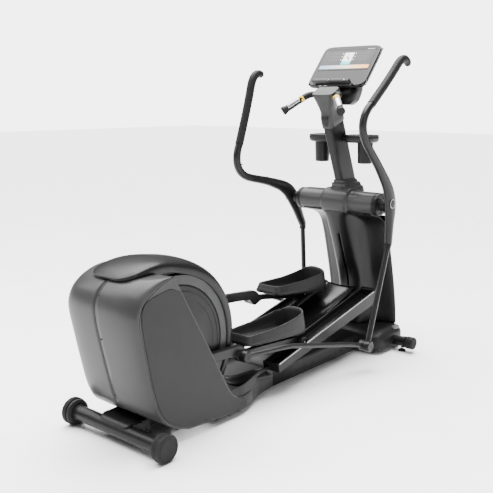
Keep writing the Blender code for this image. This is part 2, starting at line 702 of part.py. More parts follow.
def build_handlebars():
    for side in (1, -1):
        name = side_name(side)
        path = [(0.0785, 1.562, 1.530), (0.091, 1.558, 1.529), (0.104, 1.540, 1.523), (0.114, 1.508, 1.509),
                (0.196, 1.432, 1.436)]
        tube("handlebar_" + name, [(side * x, y, z) for x, y, z in path], 0.0190, "grip", 2)
    for side in (1, -1):
        x, y, z = CUP_CENTRE
        bm = bmesh.new()
        bmesh.ops.create_cone(
            bm, cap_ends=True, segments=28, radius1=CUP_RADIUS * 0.88, radius2=CUP_RADIUS, depth=CUP_HEIGHT
        )
        cup = place("cup_holder_" + side_name(side), mesh_from(bm, "cup"), "shell")
        cup.location = (side * x, fore(y), z - CUP_HEIGHT / 2)
        tray = [
            [(side * (0.122 + u), y + v, level) for u, v in superellipse(0.0915, 0.085, 3.4, 28)]
            for level in (z - 0.006, z + 0.024)
        ]
        boolean(cup, loft("tray_" + side_name(side), tray, "shell", CUTTERS), "UNION")
        bore = bmesh.new()
        bmesh.ops.create_cone(
            bore, cap_ends=True, segments=28, radius1=0.031, radius2=0.0375, depth=CUP_HEIGHT
        )
        hollow = place("hollow_" + side_name(side), mesh_from(bore, "hollow"), "shell", CUTTERS)
        hollow.location = (side * x, fore(y), z - CUP_HEIGHT / 2 + 0.031)
        boolean(cup, hollow, "DIFFERENCE")


# ---------------------------------------------------------------- swing arms and connecting rods
# centre line of an arm with its lower tube hanging straight down: (y, z), half width in X, half depth
ARM_PATH = [
    ((-0.0896, -0.7800), 0.0150, 0.0150), ((0.0292, -0.2160), 0.0150, 0.0150),
    ((0.0310, -0.2060), 0.0190, 0.0200), ((0.0170, -0.1100), 0.0195, 0.0240),
    ((0.0030, -0.0400), 0.0200, 0.0360), ((-0.012, 0.010), 0.0200, 0.0420),
    ((-0.040, 0.062), 0.0200, 0.0360), ((-0.084, 0.120), 0.0200, 0.0290), ((-0.149, 0.184), 0.0200, 0.0250),
    ((-0.231, 0.246), 0.0200, 0.0235), ((-0.319, 0.306), 0.0200, 0.0225), ((-0.366, 0.342), 0.0200, 0.0220),
    ((-0.392, 0.382), 0.0200, 0.0220), ((-0.397, 0.428), 0.0200, 0.0220), ((-0.382, 0.470), 0.0200, 0.0215),
    ((-0.357, 0.502), 0.0200, 0.0210),
]
GRIP_PATH = [
    ((-0.3565, 0.5026), 0.0205, 0.0225), ((-0.300, 0.572), 0.0205, 0.0230), ((-0.244, 0.641), 0.0205, 0.0230),
    ((-0.185, 0.718), 0.0205, 0.0230), ((-0.149, 0.768), 0.0205, 0.0230), ((-0.120, 0.798), 0.0205, 0.0225),
    ((-0.086, 0.812), 0.0200, 0.0215), ((-0.056, 0.806), 0.0190, 0.0200), ((-0.040, 0.793), 0.0160, 0.0160),
]


def arm_rings(path, side, rest):
    """Oval sections along an arm's path, swung to its rest angle about the pivot."""
    rings = []
    last = len(path) - 1
    for k, (point, half_x, half_v) in enumerate(path):
        before, after = path[max(k - 1, 0)][0], path[min(k + 1, last)][0]
        heading = turn((after[0] - before[0], after[1] - before[1]), (0.0, 0.0), rest)
        y, z = turn(point, (0.0, 0.0), rest)
        out = ARM_X + ARM_SPLAY * max(0.0, (point[1] - ARM_SLEEVE_END) / (ARM_EYE[1] - ARM_SLEEVE_END))
        centre = (side * out, PIVOT_AXIS[0] + y, PIVOT_AXIS[1] + z)
        rings.append(section(centre, heading, half_x, half_v, 2.3, 14))
    return rings


def build_arm(side, rest):
    name = side_name(side)
    arm = loft("swing_arm_" + name, arm_rings(ARM_PATH, side, rest), "frame")
    boss = disc("boss_" + name, 0.035, side * 0.285, side * 0.352, PIVOT_AXIS, "steel", 28, 0, CUTTERS)
    boolean(arm, boss, "UNION")
    low = turn(ARM_EYE, (0.0, 0.0), rest)
    joint = (PIVOT_AXIS[0] + low[0], PIVOT_AXIS[1] + low[1])
    eye = disc("eye_" + name, 0.031, side * 0.3595, side * 0.401, joint, "frame", 28, 0, CUTTERS)
    boolean(arm, eye, "UNION")
    pin = disc("pin_" + name, 0.010, side * 0.331, side * 0.374, joint, "steel", 14, 0, CUTTERS)
    boolean(arm, pin, "UNION")
    reach = (side * 0.280, side * 0.3190)
    bore = disc("bore_" + name, SHAFT_RADIUS + GAP, *reach, PIVOT_AXIS, "steel", 24, 0, CUTTERS)
    boolean(arm, bore, "DIFFERENCE")
    loft("grip_" + name, arm_rings(GRIP_PATH, side, rest), "grip")
    hang("arm_axis_" + name, [arm.name, "grip_" + name], PIVOT_AXIS, side * ARM_X)
    return joint


def build_rod(side, joint, rest_pivot):
    """Bent rod from the foot link's side to the lower joint of the arm."""
    name = side_name(side)
    run = (joint[0] - rest_pivot[0], joint[1] - rest_pivot[1])
    length = hypot(*run)
    heading = (run[0] / length, run[1] / length)

    def along(share, lift, x):
        y = rest_pivot[0] + run[0] * share - heading[1] * lift
        z = rest_pivot[1] + run[1] * share + heading[0] * lift
        return (side * x, y, z)

    path = [
        along(0.0, 0.0, 0.196), along(0.10, 0.012, 0.214), along(0.24, 0.030, 0.247),
        along(0.30, 0.036, 0.260), along(0.36, 0.036, 0.268), along(0.80, 0.016, 0.328),
        along(0.93, 0.006, 0.344), along(0.985, 0.0, 0.345),
    ]
    bar = solid(tube("connecting_rod_" + name, path, 0.0130, "frame", 2), "frame")
    reach = (side * 0.1775, side * 0.215)
    rear_eye = disc("rear_eye_" + name, 0.028, *reach, rest_pivot, "frame", 24, 0, CUTTERS)
    boolean(bar, rear_eye, "UNION")
    front_eye = disc("front_eye_" + name, 0.029, side * 0.3305, side * 0.3585, joint, "frame", 28, 0, CUTTERS)
    boolean(bar, front_eye, "UNION")
    bore = disc("rod_bore_" + name, 0.0105, side * 0.324, side * 0.364, joint, "steel", 14, 0, CUTTERS)
    boolean(bar, bore, "DIFFERENCE")
    hang("rod_axis_" + name, [bar.name], joint, side * ARM_X)


# ---------------------------------------------------------------- foot links, pedals and rollers
def build_foot_link(side, travel, tilt):
    """Foot link with its pedal and roller; travel moves it up the rail, tilt turns it on its roller."""
    name = side_name(side)
    shift = (travel * cos(RAIL_SLOPE), travel * sin(RAIL_SLOPE))
    axle = up_rail(ROLLER_AXLE_REST, ROLLER_RADIUS + 0.0005 - TRACK_DEPTH)
    axle_now = (axle[0] + shift[0], axle[1] + shift[1])

    def moved(point):
        return turn((point[0] + shift[0], point[1] + shift[1]), axle_now, tilt)

    outline = (
        arc(LINK_REAR_EYE, 0.027, 95, 265, 8)
        + [(0.457, 0.289), (0.600, 0.279)]
        + arc(ROD_PIVOT, 0.030, 205, 300, 5)
        + [(0.720, 0.262), (0.900, 0.238)]
        + arc(axle, 0.022, 255, 440, 9)
        + [(1.060, 0.264), (0.860, 0.281), (0.688, 0.294), (0.650, 0.326), (0.438, 0.337)]
    )
    plate(
        "foot_link_" + name, [moved(p) for p in outline], side * LINK_INNER, side * LINK_OUTER, "frame",
        [circle(axle_now, ROLLER_AXLE_RADIUS + GAP, 16)],
    )
    disc("roller_axle_" + name, ROLLER_AXLE_RADIUS, side * 0.1430, side * 0.2120, axle_now, "steel", 14)
    roller = [
        (0.1785, ROLLER_AXLE_RADIUS + GAP), (0.1785, ROLLER_RADIUS - 0.002), (0.1805, ROLLER_RADIUS),
        (0.2065, ROLLER_RADIUS), (0.2085, ROLLER_RADIUS - 0.002), (0.2085, ROLLER_AXLE_RADIUS + GAP),
    ]
    turned("roller_" + name, roller, axle_now, "black", side, 32)
    build_pedal(side, moved)
    carried = ["foot_link_" + name, "pedal_" + name, "roller_axle_" + name, "roller_" + name]
    hang("link_axis_" + name, carried, axle_now, side * PEDAL_CENTRE_X)
    return moved(ROD_PIVOT)


def build_pedal(side, moved):
    """Tray-shaped footplate: low rim at the heel, high curved rim at the toe."""
    name = side_name(side)
    length = PEDAL_FRONT - PEDAL_REAR
    middle = (PEDAL_FRONT + PEDAL_REAR) / 2

    def ring(inset, level, count=32):
        points = []
        for u, v in superellipse(PEDAL_HALF_WIDTH - inset, length / 2 - inset, 6, count):
            share = (v + length / 2) / length
            y, z = moved((middle + v, level(share, u)))
            points.append((side * PEDAL_CENTRE_X + side * u, y, z))
        return points

    def bottom(share, across):
        return 0.2985 - 0.0345 * share

    def rim(share, across):
        inner = 0.5 - across / (2 * PEDAL_HALF_WIDTH)
        toe = max(0.0, (share - 0.45) / 0.55)
        return 0.357 + 0.012 * share * inner + (0.014 + 0.034 * sin(pi * inner) ** 0.5) * toe ** 1.5

    def floor(share, across):
        return bottom(share, across) + 0.012

    rings = [ring(0.006, bottom), ring(0.0, floor), ring(0.007, rim), ring(0.013, rim), ring(0.015, floor)]
    loft("pedal_" + name, rings, "panel")


# ---------------------------------------------------------------- assembly
build_rear_stabiliser()
build_base()
build_rails()
build_housing()
build_drive()
build_front()
build_mast()
build_console()
build_handlebars()
right_joint = build_arm(1, ARM_REST_RIGHT)
left_joint = build_arm(-1, ARM_REST_LEFT)
right_pivot = build_foot_link(1, 0.0, 0.0)
left_pivot = build_foot_link(-1, STRIDE_PER_RADIAN * (ARM_REST_LEFT - ARM_REST_RIGHT), LEFT_LINK_TILT)
build_rod(1, right_joint, right_pivot)
build_rod(-1, left_joint, left_pivot)
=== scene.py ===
"""Elliptical trainer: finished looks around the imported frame. Metres, +X right, +Y forward, +Z up."""
import json
from math import atan2, cos, hypot, pi, radians, sin

import bmesh
import bpy
from mathutils import Matrix, Vector


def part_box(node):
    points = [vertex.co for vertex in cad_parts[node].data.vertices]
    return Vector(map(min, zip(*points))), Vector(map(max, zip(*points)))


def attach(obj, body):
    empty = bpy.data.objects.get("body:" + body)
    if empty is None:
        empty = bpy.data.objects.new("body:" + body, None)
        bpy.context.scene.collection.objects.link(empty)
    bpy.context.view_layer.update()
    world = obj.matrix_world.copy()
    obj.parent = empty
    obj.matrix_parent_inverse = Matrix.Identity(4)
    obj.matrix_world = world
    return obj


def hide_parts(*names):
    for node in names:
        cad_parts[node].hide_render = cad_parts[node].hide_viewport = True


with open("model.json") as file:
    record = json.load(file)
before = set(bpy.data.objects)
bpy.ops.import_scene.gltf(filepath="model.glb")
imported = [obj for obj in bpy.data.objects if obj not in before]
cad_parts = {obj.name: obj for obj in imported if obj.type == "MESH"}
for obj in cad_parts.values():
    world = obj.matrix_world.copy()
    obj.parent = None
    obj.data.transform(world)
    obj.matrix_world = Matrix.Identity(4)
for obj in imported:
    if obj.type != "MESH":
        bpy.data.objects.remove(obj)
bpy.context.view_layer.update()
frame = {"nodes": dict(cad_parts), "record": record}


# ---------------------------------------------------------------- shader sockets
class Sock:
    """A shader socket that takes part in plain arithmetic."""

    def __init__(self, tree, out):
        self.tree, self.out = tree, out

    def node(self, kind, settings=None, values=None, out=0):
        """Add a node: its settings first, then the values or links of its sockets."""
        made = self.tree.nodes.new("ShaderNode" + kind)
        for key, value in (settings or {}).items():
            if key == "stops":
                ramp = made.color_ramp
                while len(ramp.elements) < len(value):
                    ramp.elements.new(1.0)
                for element, (place, colour) in zip(ramp.elements, value):
                    element.position = place
                    element.color = colour
            else:
                setattr(made, key, value)
        for key, value in (values or {}).items():
            if isinstance(value, Sock):
                self.tree.links.new(value.out, made.inputs[key])
            else:
                made.inputs[key].default_value = value
        return Sock(self.tree, made.outputs[out])

    def math(self, operation, first, second=0.0):
        return self.node("Math", {"operation": operation}, {0: first, 1: second})

    def __add__(self, other):
        return self.math("ADD", self, other)

    def __radd__(self, other):
        return self.math("ADD", other, self)

    def __sub__(self, other):
        return self.math("SUBTRACT", self, other)

    def __rsub__(self, other):
        return self.math("SUBTRACT", other, self)

    def __mul__(self, other):
        return self.math("MULTIPLY", self, other)

    def __rmul__(self, other):
        return self.math("MULTIPLY", other, self)

    def __truediv__(self, other):
        return self.math("DIVIDE", self, other)

    def above(self, level):
        return self.math("GREATER_THAN", self, level)

    def size(self):
        return self.math("ABSOLUTE", self)

    def root(self):
        return self.math("SQRT", self)

    def wave(self):
        return self.math("SINE", self)

    def rows(self, spacing):
        return self.math("FRACT", self / spacing)

    def axes(self):
        split = self.node("SeparateXYZ", None, {0: self})
        return [Sock(self.tree, split.out.node.outputs[k]) for k in range(3)]

    def stretched(self, scale):
        return self.node("Mapping", None, {"Vector": self, "Scale": scale})

    def noise(self, scale, detail=3.0):
        return self.node("TexNoise", None, {"Vector": self, "Scale": scale, "Detail": detail})

    def cells(self, scale):
        return self.node("TexVoronoi", None, {"Vector": self, "Scale": scale})

    def ramp(self, stops):
        return self.node("ValToRGB", {"stops": stops}, {0: self})

    def tint(self, first, second):
        """Blend two colours by this value."""
        return self.node("Mix", {"data_type": "RGBA"}, {"Factor": self, 6: first, 7: second}, 2)

    def relief(self, strength, depth, under=None):
        values = {"Height": self, "Strength": strength, "Distance": depth}
        if under:
            values["Normal"] = under
        return self.node("Bump", None, values)


SHEEN = 0.16


def grey(level):
    return (level, level, level * 1.02, 1.0)


def finish(name, paint, roughness=0.5, metallic=0.0, **fixed):
    """A named material; paint(place) returns the varying colour, roughness and normal."""
    material = bpy.data.materials.new(name)
    material.use_nodes = True
    tree = material.node_tree
    shader = tree.nodes["Principled BSDF"]
    shader.inputs["Roughness"].default_value = roughness
    shader.inputs["Metallic"].default_value = metallic
    shader.inputs["Specular IOR Level"].default_value = SHEEN
    for key, value in fixed.items():
        shader.inputs[key.replace("_", " ")].default_value = value
    place = Sock(tree, tree.nodes.new("ShaderNodeTexCoord").outputs["Object"])
    for key, value in paint(place).items():
        tree.links.new(value.out, shader.inputs[key.replace("_", " ")])
    return material


def moulded(name, level, roughness, grain=900.0, depth=0.00012, dust=0.1, **fixed):
    """Moulded plastic: fine spark-eroded grain, faint mottling and a little handling sheen."""
    def paint(place):
        mottle = place.noise(5.0, 4.0)
        fine = place.noise(grain, 2.0)
        smear = place.stretched((2.0, 5.0, 1.2)).noise(6.0, 5.0)
        colour = (mottle * 0.5 + fine * 0.5).ramp([(0.3, grey(level * 0.86)), (0.7, grey(level * 1.16))])
        return {"Base_Color": colour, "Roughness": (smear - 0.5) * dust * 2.0 + (fine - 0.5) * 0.06
                + roughness, "Normal": fine.relief(0.35, depth),}
    return finish(name, paint, roughness, **fixed)


def painted(name, level, roughness, metallic=0.35, **fixed):
    """Powder-coated steel: orange-peel waviness and fine flake."""
    def paint(place):
        peel = place.noise(220.0, 2.0)
        flake = place.cells(2200.0)
        wear = place.noise(9.0, 6.0)
        colour = (flake * 0.55 + wear * 0.45).ramp([(0.2, grey(level * 0.82)), (0.75, grey(level * 1.25))])
        return {"Base_Color": colour, "Roughness": (wear - 0.5) * 0.18 + roughness,
                "Normal": peel.relief(0.22, 0.0003),}
    return finish(name, paint, roughness, metallic, **fixed)


def turned_metal(name, level, roughness, centre=(0.0, 0.0)):
    """Lathe-turned metal: fine rings round an X axis."""
    def paint(place):
        _, y, z = place.axes()
        across, up = y - centre[0], z - centre[1]
        out = (across * across + up * up).root()
        rings = (out * 5200.0).wave() * 0.5 + 0.5
        streak = place.stretched((900.0, 12.0, 12.0)).noise(1.0, 3.0)
        colour = (rings * 0.35 + streak * 0.65).ramp([(0.25, grey(level * 0.8)), (0.75, grey(level * 1.15))])
        return {"Base_Color": colour, "Roughness": (streak - 0.5) * 0.16 + roughness,
                "Normal": rings.relief(0.15, 0.0001)}
    return finish(name, paint, roughness, 0.95)


def brushed(name, level, roughness, scale=(30.0, 4.0, 700.0)):
    """Brushed metal with streaks along its length."""
    def paint(place):
        streak = place.stretched(scale).noise(1.0, 4.0)
        colour = streak.ramp([(0.3, grey(level * 0.8)), (0.7, grey(level * 1.12))])
        return {"Base_Color": colour, "Roughness": (streak - 0.5) * 0.22 + roughness,
                "Normal": streak.relief(0.12, 0.0001)}
    return finish(name, paint, roughness, 0.9)


def stippled(name, level, roughness, cell=420.0, depth=0.0006):
    """Soft rubber with a raised stipple."""
    def paint(place):
        bead = place.cells(cell)
        worn = place.noise(14.0, 4.0)
        colour = (bead * 0.6 + worn * 0.4).ramp([(0.15, grey(level * 1.25)), (0.75, grey(level * 0.7))])
        return {"Base_Color": colour, "Roughness": (worn - 0.5) * 0.16 + roughness,
                "Normal": (1.0 - bead).relief(0.55, depth)}
    return finish(name, paint, roughness)


def ribbed_rubber(name, level, roughness, pitch=0.006):
    """Moulded rubber with fine ribs round it and a dusty bloom."""
    def paint(place):
        rib = (place.axes()[0].rows(pitch) - 0.5).size() * 2.0
        bloom = place.noise(40.0, 5.0)
        colour = (rib * 0.4 + bloom * 0.6).ramp([(0.25, grey(level * 0.7)), (0.75, grey(level * 1.4))])
        return {"Base_Color": colour, "Roughness": (bloom - 0.5) * 0.2 + roughness,
                "Normal": rib.relief(0.25, 0.0006, bloom.relief(0.3, 0.0003))}
    return finish(name, paint, roughness)


SHELL = moulded("graphite_shell", 0.03, 0.36, 700.0, 0.0001, 0.05, Coat_Weight=0.042, Coat_Roughness=0.3)
PANEL = moulded("charcoal_side_panel", 0.011, 0.42, 850.0, 0.00012, 0.06)
LID = moulded("dark_lid", 0.007, 0.34, 700.0, 0.0001, 0.06, Coat_Weight=0.052, Coat_Roughness=0.25)
CASING = moulded("wheel_casing_plastic", 0.007, 0.38, 800.0, 0.0001, 0.08)
DISC = moulded("crank_disc_plastic", 0.006, 0.34, 800.0, 0.0001, 0.08)
RIM = moulded("arch_rim_satin", 0.04, 0.36, 800.0, 0.0001, 0.05)
TOWER = moulded("black_tower_plastic", 0.004, 0.34, 650.0, 0.0001, 0.1, Coat_Weight=0.035, Coat_Roughness=0.3)
WING = moulded("tower_edge_plastic", 0.014, 0.4, 800.0)
BASE = moulded("base_cover_plastic", 0.011, 0.44, 850.0)
TROUGH = moulded("gloss_trough_plastic", 0.005, 0.22, 500.0, 0.00008, 0.1, Coat_Weight=0.105,
                 Coat_Roughness=0.15)
# near-black finish for sheets laid in grooves, slots, slits, holes and seams: painted shade
GAP_SHADE = moulded("gap_black", 0.0015, 0.75)
SCREW = moulded("screw_black", 0.003, 0.45)
FRAME_PAINT = painted("charcoal_frame_paint", 0.011, 0.38)
ARM_PAINT = painted("satin_arm_paint", 0.014, 0.32, 0.45, Coat_Weight=0.07, Coat_Roughness=0.25)
ROD_PAINT = painted("satin_rod_paint", 0.028, 0.34, 0.55)
TRIM = brushed("aluminium_trim", 0.42, 0.3)
SENSOR = brushed("sensor_plate_steel", 0.48, 0.3, (700.0, 30.0, 30.0))
FOOT_RUBBER = ribbed_rubber("foot_cap_rubber", 0.012, 0.62)
WHEEL_RUBBER = ribbed_rubber("wheel_rubber", 0.009, 0.66)
GRIP = stippled("grip_rubber", 0.009, 0.52)
PEDAL = moulded("pedal_satin_plastic", 0.018, 0.38, 600.0, 0.00012, 0.08)
MAT = stippled("pedal_mat", 0.006, 0.62, 240.0, 0.0012)
STEEL = turned_metal("turned_steel", 0.55, 0.28)
CRANK_STEEL = turned_metal("crank_steel", 0.5, 0.3, (-0.725, 0.39))
FLYWHEEL_IRON = turned_metal("flywheel_iron", 0.28, 0.36, (-0.52, 0.235))
BELT = ribbed_rubber("drive_belt_rubber", 0.008, 0.6, 0.0035)
NYLON = moulded("roller_nylon", 0.012, 0.34, 400.0)
BEZEL = moulded("console_bezel", 0.006, 0.26, 600.0, 0.00006, 0.04, Coat_Weight=0.105, Coat_Roughness=0.15)
BAR = moulded("control_bar_plastic", 0.024, 0.34, 700.0)
YELLOW = moulded("yellow_ring", 0.0, 0.4)
CUP = moulded("cup_holder_plastic", 0.01, 0.4, 700.0)
PLATE = moulded("foot_plate_grey", 0.12, 0.42, 600.0)
KEY = moulded("key_rubber", 0.008, 0.55)
LAMP = moulded("red_lamp", 0.0, 0.3)


def tinted(material, first, second):
    """Give a moulded finish a hue between two colours."""
    ramp = next(node for node in material.node_tree.nodes if node.type == "VALTORGB").color_ramp
    ramp.elements[0].color, ramp.elements[1].color = first, second


tinted(YELLOW, (0.7, 0.42, 0.005, 1), (0.95, 0.62, 0.02, 1))
tinted(LAMP, (0.45, 0.01, 0.01, 1), (0.85, 0.03, 0.02, 1))


# ---------------------------------------------------------------- where things are
def middle(node):
    low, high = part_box(node)
    return [(a + b) / 2 for a, b in zip(low, high)]


JOINT = {joint["name"]: joint for joint in frame["record"]["behaviour"]["joints"]}
REAR_Y = middle("rear_stabiliser")[1]
CRANK = tuple(JOINT["crank_spin"]["pos_m"][1:])
PIVOT = tuple(JOINT["right_arm_swing"]["pos_m"][1:])
FRONT = (middle("front_stabiliser")[1], middle("front_stabiliser")[2])
SIDES = ((1, "right"), (-1, "left"))


def fore(distance):
    """World Y of a point this far forward of the rear stabiliser."""
    return REAR_Y + distance


# ---------------------------------------------------------------- shape helpers
def keep(name, bm, material, body, replaced=(), soft=35, flip=True):
    """Turn a bmesh into a piece that rides on a body and stands for CAD nodes."""
    if flip:
        bmesh.ops.recalc_face_normals(bm, faces=bm.faces)
    mesh = bpy.data.meshes.new(name)
    bm.to_mesh(mesh)
    bm.free()
    mesh.materials.append(material)
    piece = bpy.data.objects.new(name, mesh)
    bpy.context.scene.collection.objects.link(piece)
    mesh.shade_smooth()
    mesh.set_sharp_from_angle(angle=radians(soft))
    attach(piece, body)
    if replaced:
        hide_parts(*replaced)
    slot = next((node for node in (*replaced, name) if node in frame["nodes"]), None)
    return piece


def rounded(piece, width, segments=3, angle=30):
    edge = piece.modifiers.new("edges", "BEVEL")
    edge.width = width
    edge.segments = segments
    edge.limit_method = "ANGLE"
    edge.angle_limit = radians(angle)
    edge.harden_normals = True
    return piece


def walled(piece, thickness, offset=-1):
    walls = piece.modifiers.new("walls", "SOLIDIFY")
    walls.thickness = thickness
    walls.offset = offset
    return piece


def sheet(name, rows, material, thickness=0.004, offset=-1, **how):
    """An open surface through rows of points, given a wall."""
    return walled(skin(name, rows, material, ring_closed=False, **how), thickness, offset)


def through(points, per, closed=False):
    """Points of a smooth curve through the given ones, any number of coordinates each."""
    count = len(points)
    out = []
    spans = count if closed else count - 1
    for k in range(spans):
        if closed:
            a, b, c, d = (points[(k + step) % count] for step in (-1, 0, 1, 2))
        else:
            b, c = points[k], points[k + 1]
            a = points[k - 1] if k else tuple(2 * p - q for p, q in zip(b, c))
            d = points[k + 2] if k + 2 < count else tuple(2 * q - p for p, q in zip(b, c))
        for step in range(per):
            t = step / per
            out.append(tuple(
                0.5 * (2 * q + (r - p) * t + (2 * p - 5 * q + 4 * r - s) * t * t + (3 * q - p - 3 * r + s)
                       * t ** 3) for p, q, r, s in zip(a, b, c, d)
            ))
    if not closed:
        out.append(tuple(points[-1]))
    return out


def superellipse(half_u, half_v, power, count):
    points = []
    for k in range(count):
        angle = 2 * pi * k / count
        u, v = cos(angle), sin(angle)
        points.append((
            abs(u) ** (2 / power) * half_u * (1 if u >= 0 else -1),
            abs(v) ** (2 / power) * half_v * (1 if v >= 0 else -1),
        ))
    return points


def arc(centre, radius, start, stop, count):
    """Points of a round stretch in the YZ plane, angles in degrees from +Y."""
    angles = [radians(start + (stop - start) * k / (count - 1)) for k in range(count)]
    return [(centre[0] + radius * cos(a), centre[1] + radius * sin(a)) for a in angles]


def skin(name, rings, material, body="frame", replaced=(), ring_closed=True, loop=False, soft=35):
    """A surface through rings of (x, y, z) points."""
    bm = bmesh.new()
    rows = [[bm.verts.new(point) for point in ring] for ring in rings]
    count = len(rows[0])
    pairs = list(zip(rows, rows[1:] + rows[:1] if loop else rows[1:]))
    for low, high in pairs:
        for k in range(count if ring_closed else count - 1):
            bm.faces.new((low[k], low[(k + 1) % count], high[(k + 1) % count], high[k]))
    if ring_closed and not loop:
        bm.faces.new(rows[0][::-1])
        bm.faces.new(rows[-1])
    return keep(name, bm, material, body, replaced, soft, ring_closed)


def turned(name, profile, centre, place, material, body, replaced, steps, soft):
    """A (distance, radius) profile turned about centre; place puts a distance and a flat point in space."""
    bm = bmesh.new()
    rings = []
    for distance, radius in profile:
        if radius <= 0:
            rings.append([bm.verts.new(place(distance, centre))] * steps)
            continue
        ring = arc(centre, radius, 0, 360 - 360 / steps, steps)
        rings.append([bm.verts.new(place(distance, point)) for point in ring])
    for low, high in zip(rings, rings[1:]):
        for k in range(steps):
            corners = [low[k], low[(k + 1) % steps], high[(k + 1) % steps], high[k]]
            unique = list(dict.fromkeys(corners))
            if len(unique) > 2:
                bm.faces.new(unique)
    return keep(name, bm, material, body, replaced, soft)


def lathe(name, profile, centre, side, material, body="frame", replaced=(), steps=64, soft=30):
    """A profile of (x, radius) turned about a line along X through centre (y, z)."""
    def place(x, point):
        return (side * x, *point)
    return turned(name, profile, centre, place, material, body, replaced, steps, soft)


def upright(name, profile, centre, material, body="frame", replaced=(), steps=48, soft=30):
    """A profile of (z, radius) turned about a vertical line through centre (x, y)."""
    def place(z, point):
        return (*point, z)
    return turned(name, profile, centre, place, material, body, replaced, steps, soft)


def prism(name, outline, x_from, x_to, material, body="frame", replaced=(), edge=0.001, segments=2, soft=30):
    """A closed (y, z) outline given depth along X, with its rims rounded."""
    rings = [[(x, y, z) for y, z in outline] for x in (x_from, x_to)]
    piece = skin(name, rings, material, body, replaced, soft=soft)
    return rounded(piece, edge, segments) if edge else piece


def frames_along(points):
    """Direction, side and up vectors at each point of a path."""
    out = []
    last = len(points) - 1
    up = Vector((0, 0, 1))
    for k, point in enumerate(points):
        run = (Vector(points[min(k + 1, last)]) - Vector(points[max(k - 1, 0)])).normalized()
        if k == 0 and abs(run.z) > 0.9:
            up = Vector((0, 1, 0))
        side = run.cross(up).normalized()
        up = side.cross(run).normalized()
        out.append((Vector(point), side, up))
    return out


def sweep(name, stations, material, body="frame", replaced=(), sides=24, per=6, soft=40):
    """A round bar through (x, y, z, radius) stations."""
    path = through(stations, per)
    rings = []
    for (centre, side, up), station in zip(frames_along([p[:3] for p in path]), path):
        rings.append([
            tuple(centre + (side * cos(2 * pi * k / sides) + up * sin(2 * pi * k / sides)) * station[3])
            for k in range(sides)
        ])
    return skin(name, rings, material, body, replaced, soft=soft)


def band(name, centre, inner, outer, start, stop, x_from, x_to, material, body="frame", steps=48,
         edge=0.0006):
    """A flat ring or part of a ring facing along X."""
    rings = []
    for (y0, z0), (y1, z1) in zip(arc(centre, inner, start, stop, steps),
                                  arc(centre, outer, start, stop, steps)):
        rings.append([(x_from, y0, z0), (x_to, y0, z0), (x_to, y1, z1), (x_from, y1, z1)])
    whole = abs(stop - start) >= 359.9
    piece = skin(name, rings[:-1] if whole else rings, material, body, loop=whole)
    return rounded(piece, edge, 2)


def screw(name, point, normal, body="frame", radius=0.0042):
    """A sunk socket-head screw: a dark ring, a recess and a small hexagon."""
    bm = bmesh.new()
    axis = Vector(normal).normalized()
    side = axis.orthogonal().normalized()
    other = axis.cross(side)
    rings = []
    for out, deep in ((1.25, -0.6), (1.25, 0.1), (1.0, 0.16), (0.92, -0.1), (0.45, -0.12), (0.4, -0.45)):
        rings.append([
            bm.verts.new(Vector(point) + axis * deep * radius
                         + (side * cos(2 * pi * k / 12) + other * sin(2 * pi * k / 12)) * out * radius)
            for k in range(12)
        ])
    for low, high in zip(rings, rings[1:]):
        for k in range(12):
            bm.faces.new((low[k], low[(k + 1) % 12], high[(k + 1) % 12], high[k]))
    bm.faces.new(rings[-1])
    bm.faces.new(rings[0][::-1])
    return keep(name, bm, SCREW, body)


def dressed(node, material):
    """A CAD node kept as it is, with its finish."""
    part = frame["nodes"][node]
    part.data.materials.clear()
    part.data.materials.append(material)


def softened(node, material, edge=0.0015, soft=40, segments=3):
    """A CAD node's own solid with welded faces and rounded edges."""
    bm = bmesh.new()
    bm.from_mesh(frame["nodes"][node].data)
    bmesh.ops.remove_doubles(bm, verts=bm.verts, dist=0.00002)
    bmesh.ops.dissolve_limit(bm, angle_limit=radians(1.0), verts=bm.verts, edges=bm.edges)
    body = next(name for name, nodes in frame["record"]["behaviour"]["bodies"].items() if node in nodes)
    piece = keep(node + "_smooth", bm, material, body, (node,), soft)
    return rounded(piece, edge, segments)


# ---------------------------------------------------------------- rear stabiliser
TUBE_RADIUS = (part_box("rear_stabiliser")[1][2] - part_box("rear_stabiliser")[0][2]) / 2
REAR_AXIS = (REAR_Y, middle("rear_stabiliser")[2])
REAR_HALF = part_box("rear_foot_right")[1][0]
# rubber cap: distance out from the tube's end and radius, then distance in from the outer face and radius
FOOT_BODY = [
    (0.0002, 0), (0.0002, 0.044), (0.002, 0.05), (0.006, 0.057), (0.008, 0.0595), (0.018, 0.0605),
    (0.0205, 0.059), (0.0215, 0.056), (0.024, 0.056), (0.025, 0.0615), (0.0265, 0.0638), (0.03, 0.064),
    (0.0305, 0.0626), (0.0325, 0.0626), (0.033, 0.064), (0.037, 0.064), (0.0375, 0.0626), (0.0395, 0.0626),
    (0.04, 0.064), (0.046, 0.0638), (0.05, 0.0622),
]
FOOT_FACE = [
    (0.0015, 0.059), (0.0, 0.056), (0.0, 0.05), (0.0015, 0.049), (0.0015, 0.0465), (0.0, 0.0455),
    (0.0, 0.005), (0.0012, 0.004), (0.0012, 0.0),
]
# half width, top and bottom of the bracket at each distance forward of the tube's axis
BRACKET = [
    (-0.027, 0.076, 0.097, 0.093), (-0.024, 0.084, 0.101, 0.093), (-0.018, 0.09, 0.1065, 0.094),
    (-0.008, 0.095, 0.111, 0.098), (0.006, 0.098, 0.1145, 0.098), (0.03, 0.102, 0.1165, 0.07),
    (0.06, 0.104, 0.118, 0.05), (0.1, 0.106, 0.118, 0.05),
]
BRACKET_EAR = [
    (0.004, 0.052), (-0.002, 0.076), (0.004, 0.1), (0.02, 0.109), (0.052, 0.108), (0.064, 0.092),
    (0.064, 0.052), (0.052, 0.04), (0.018, 0.04),
]


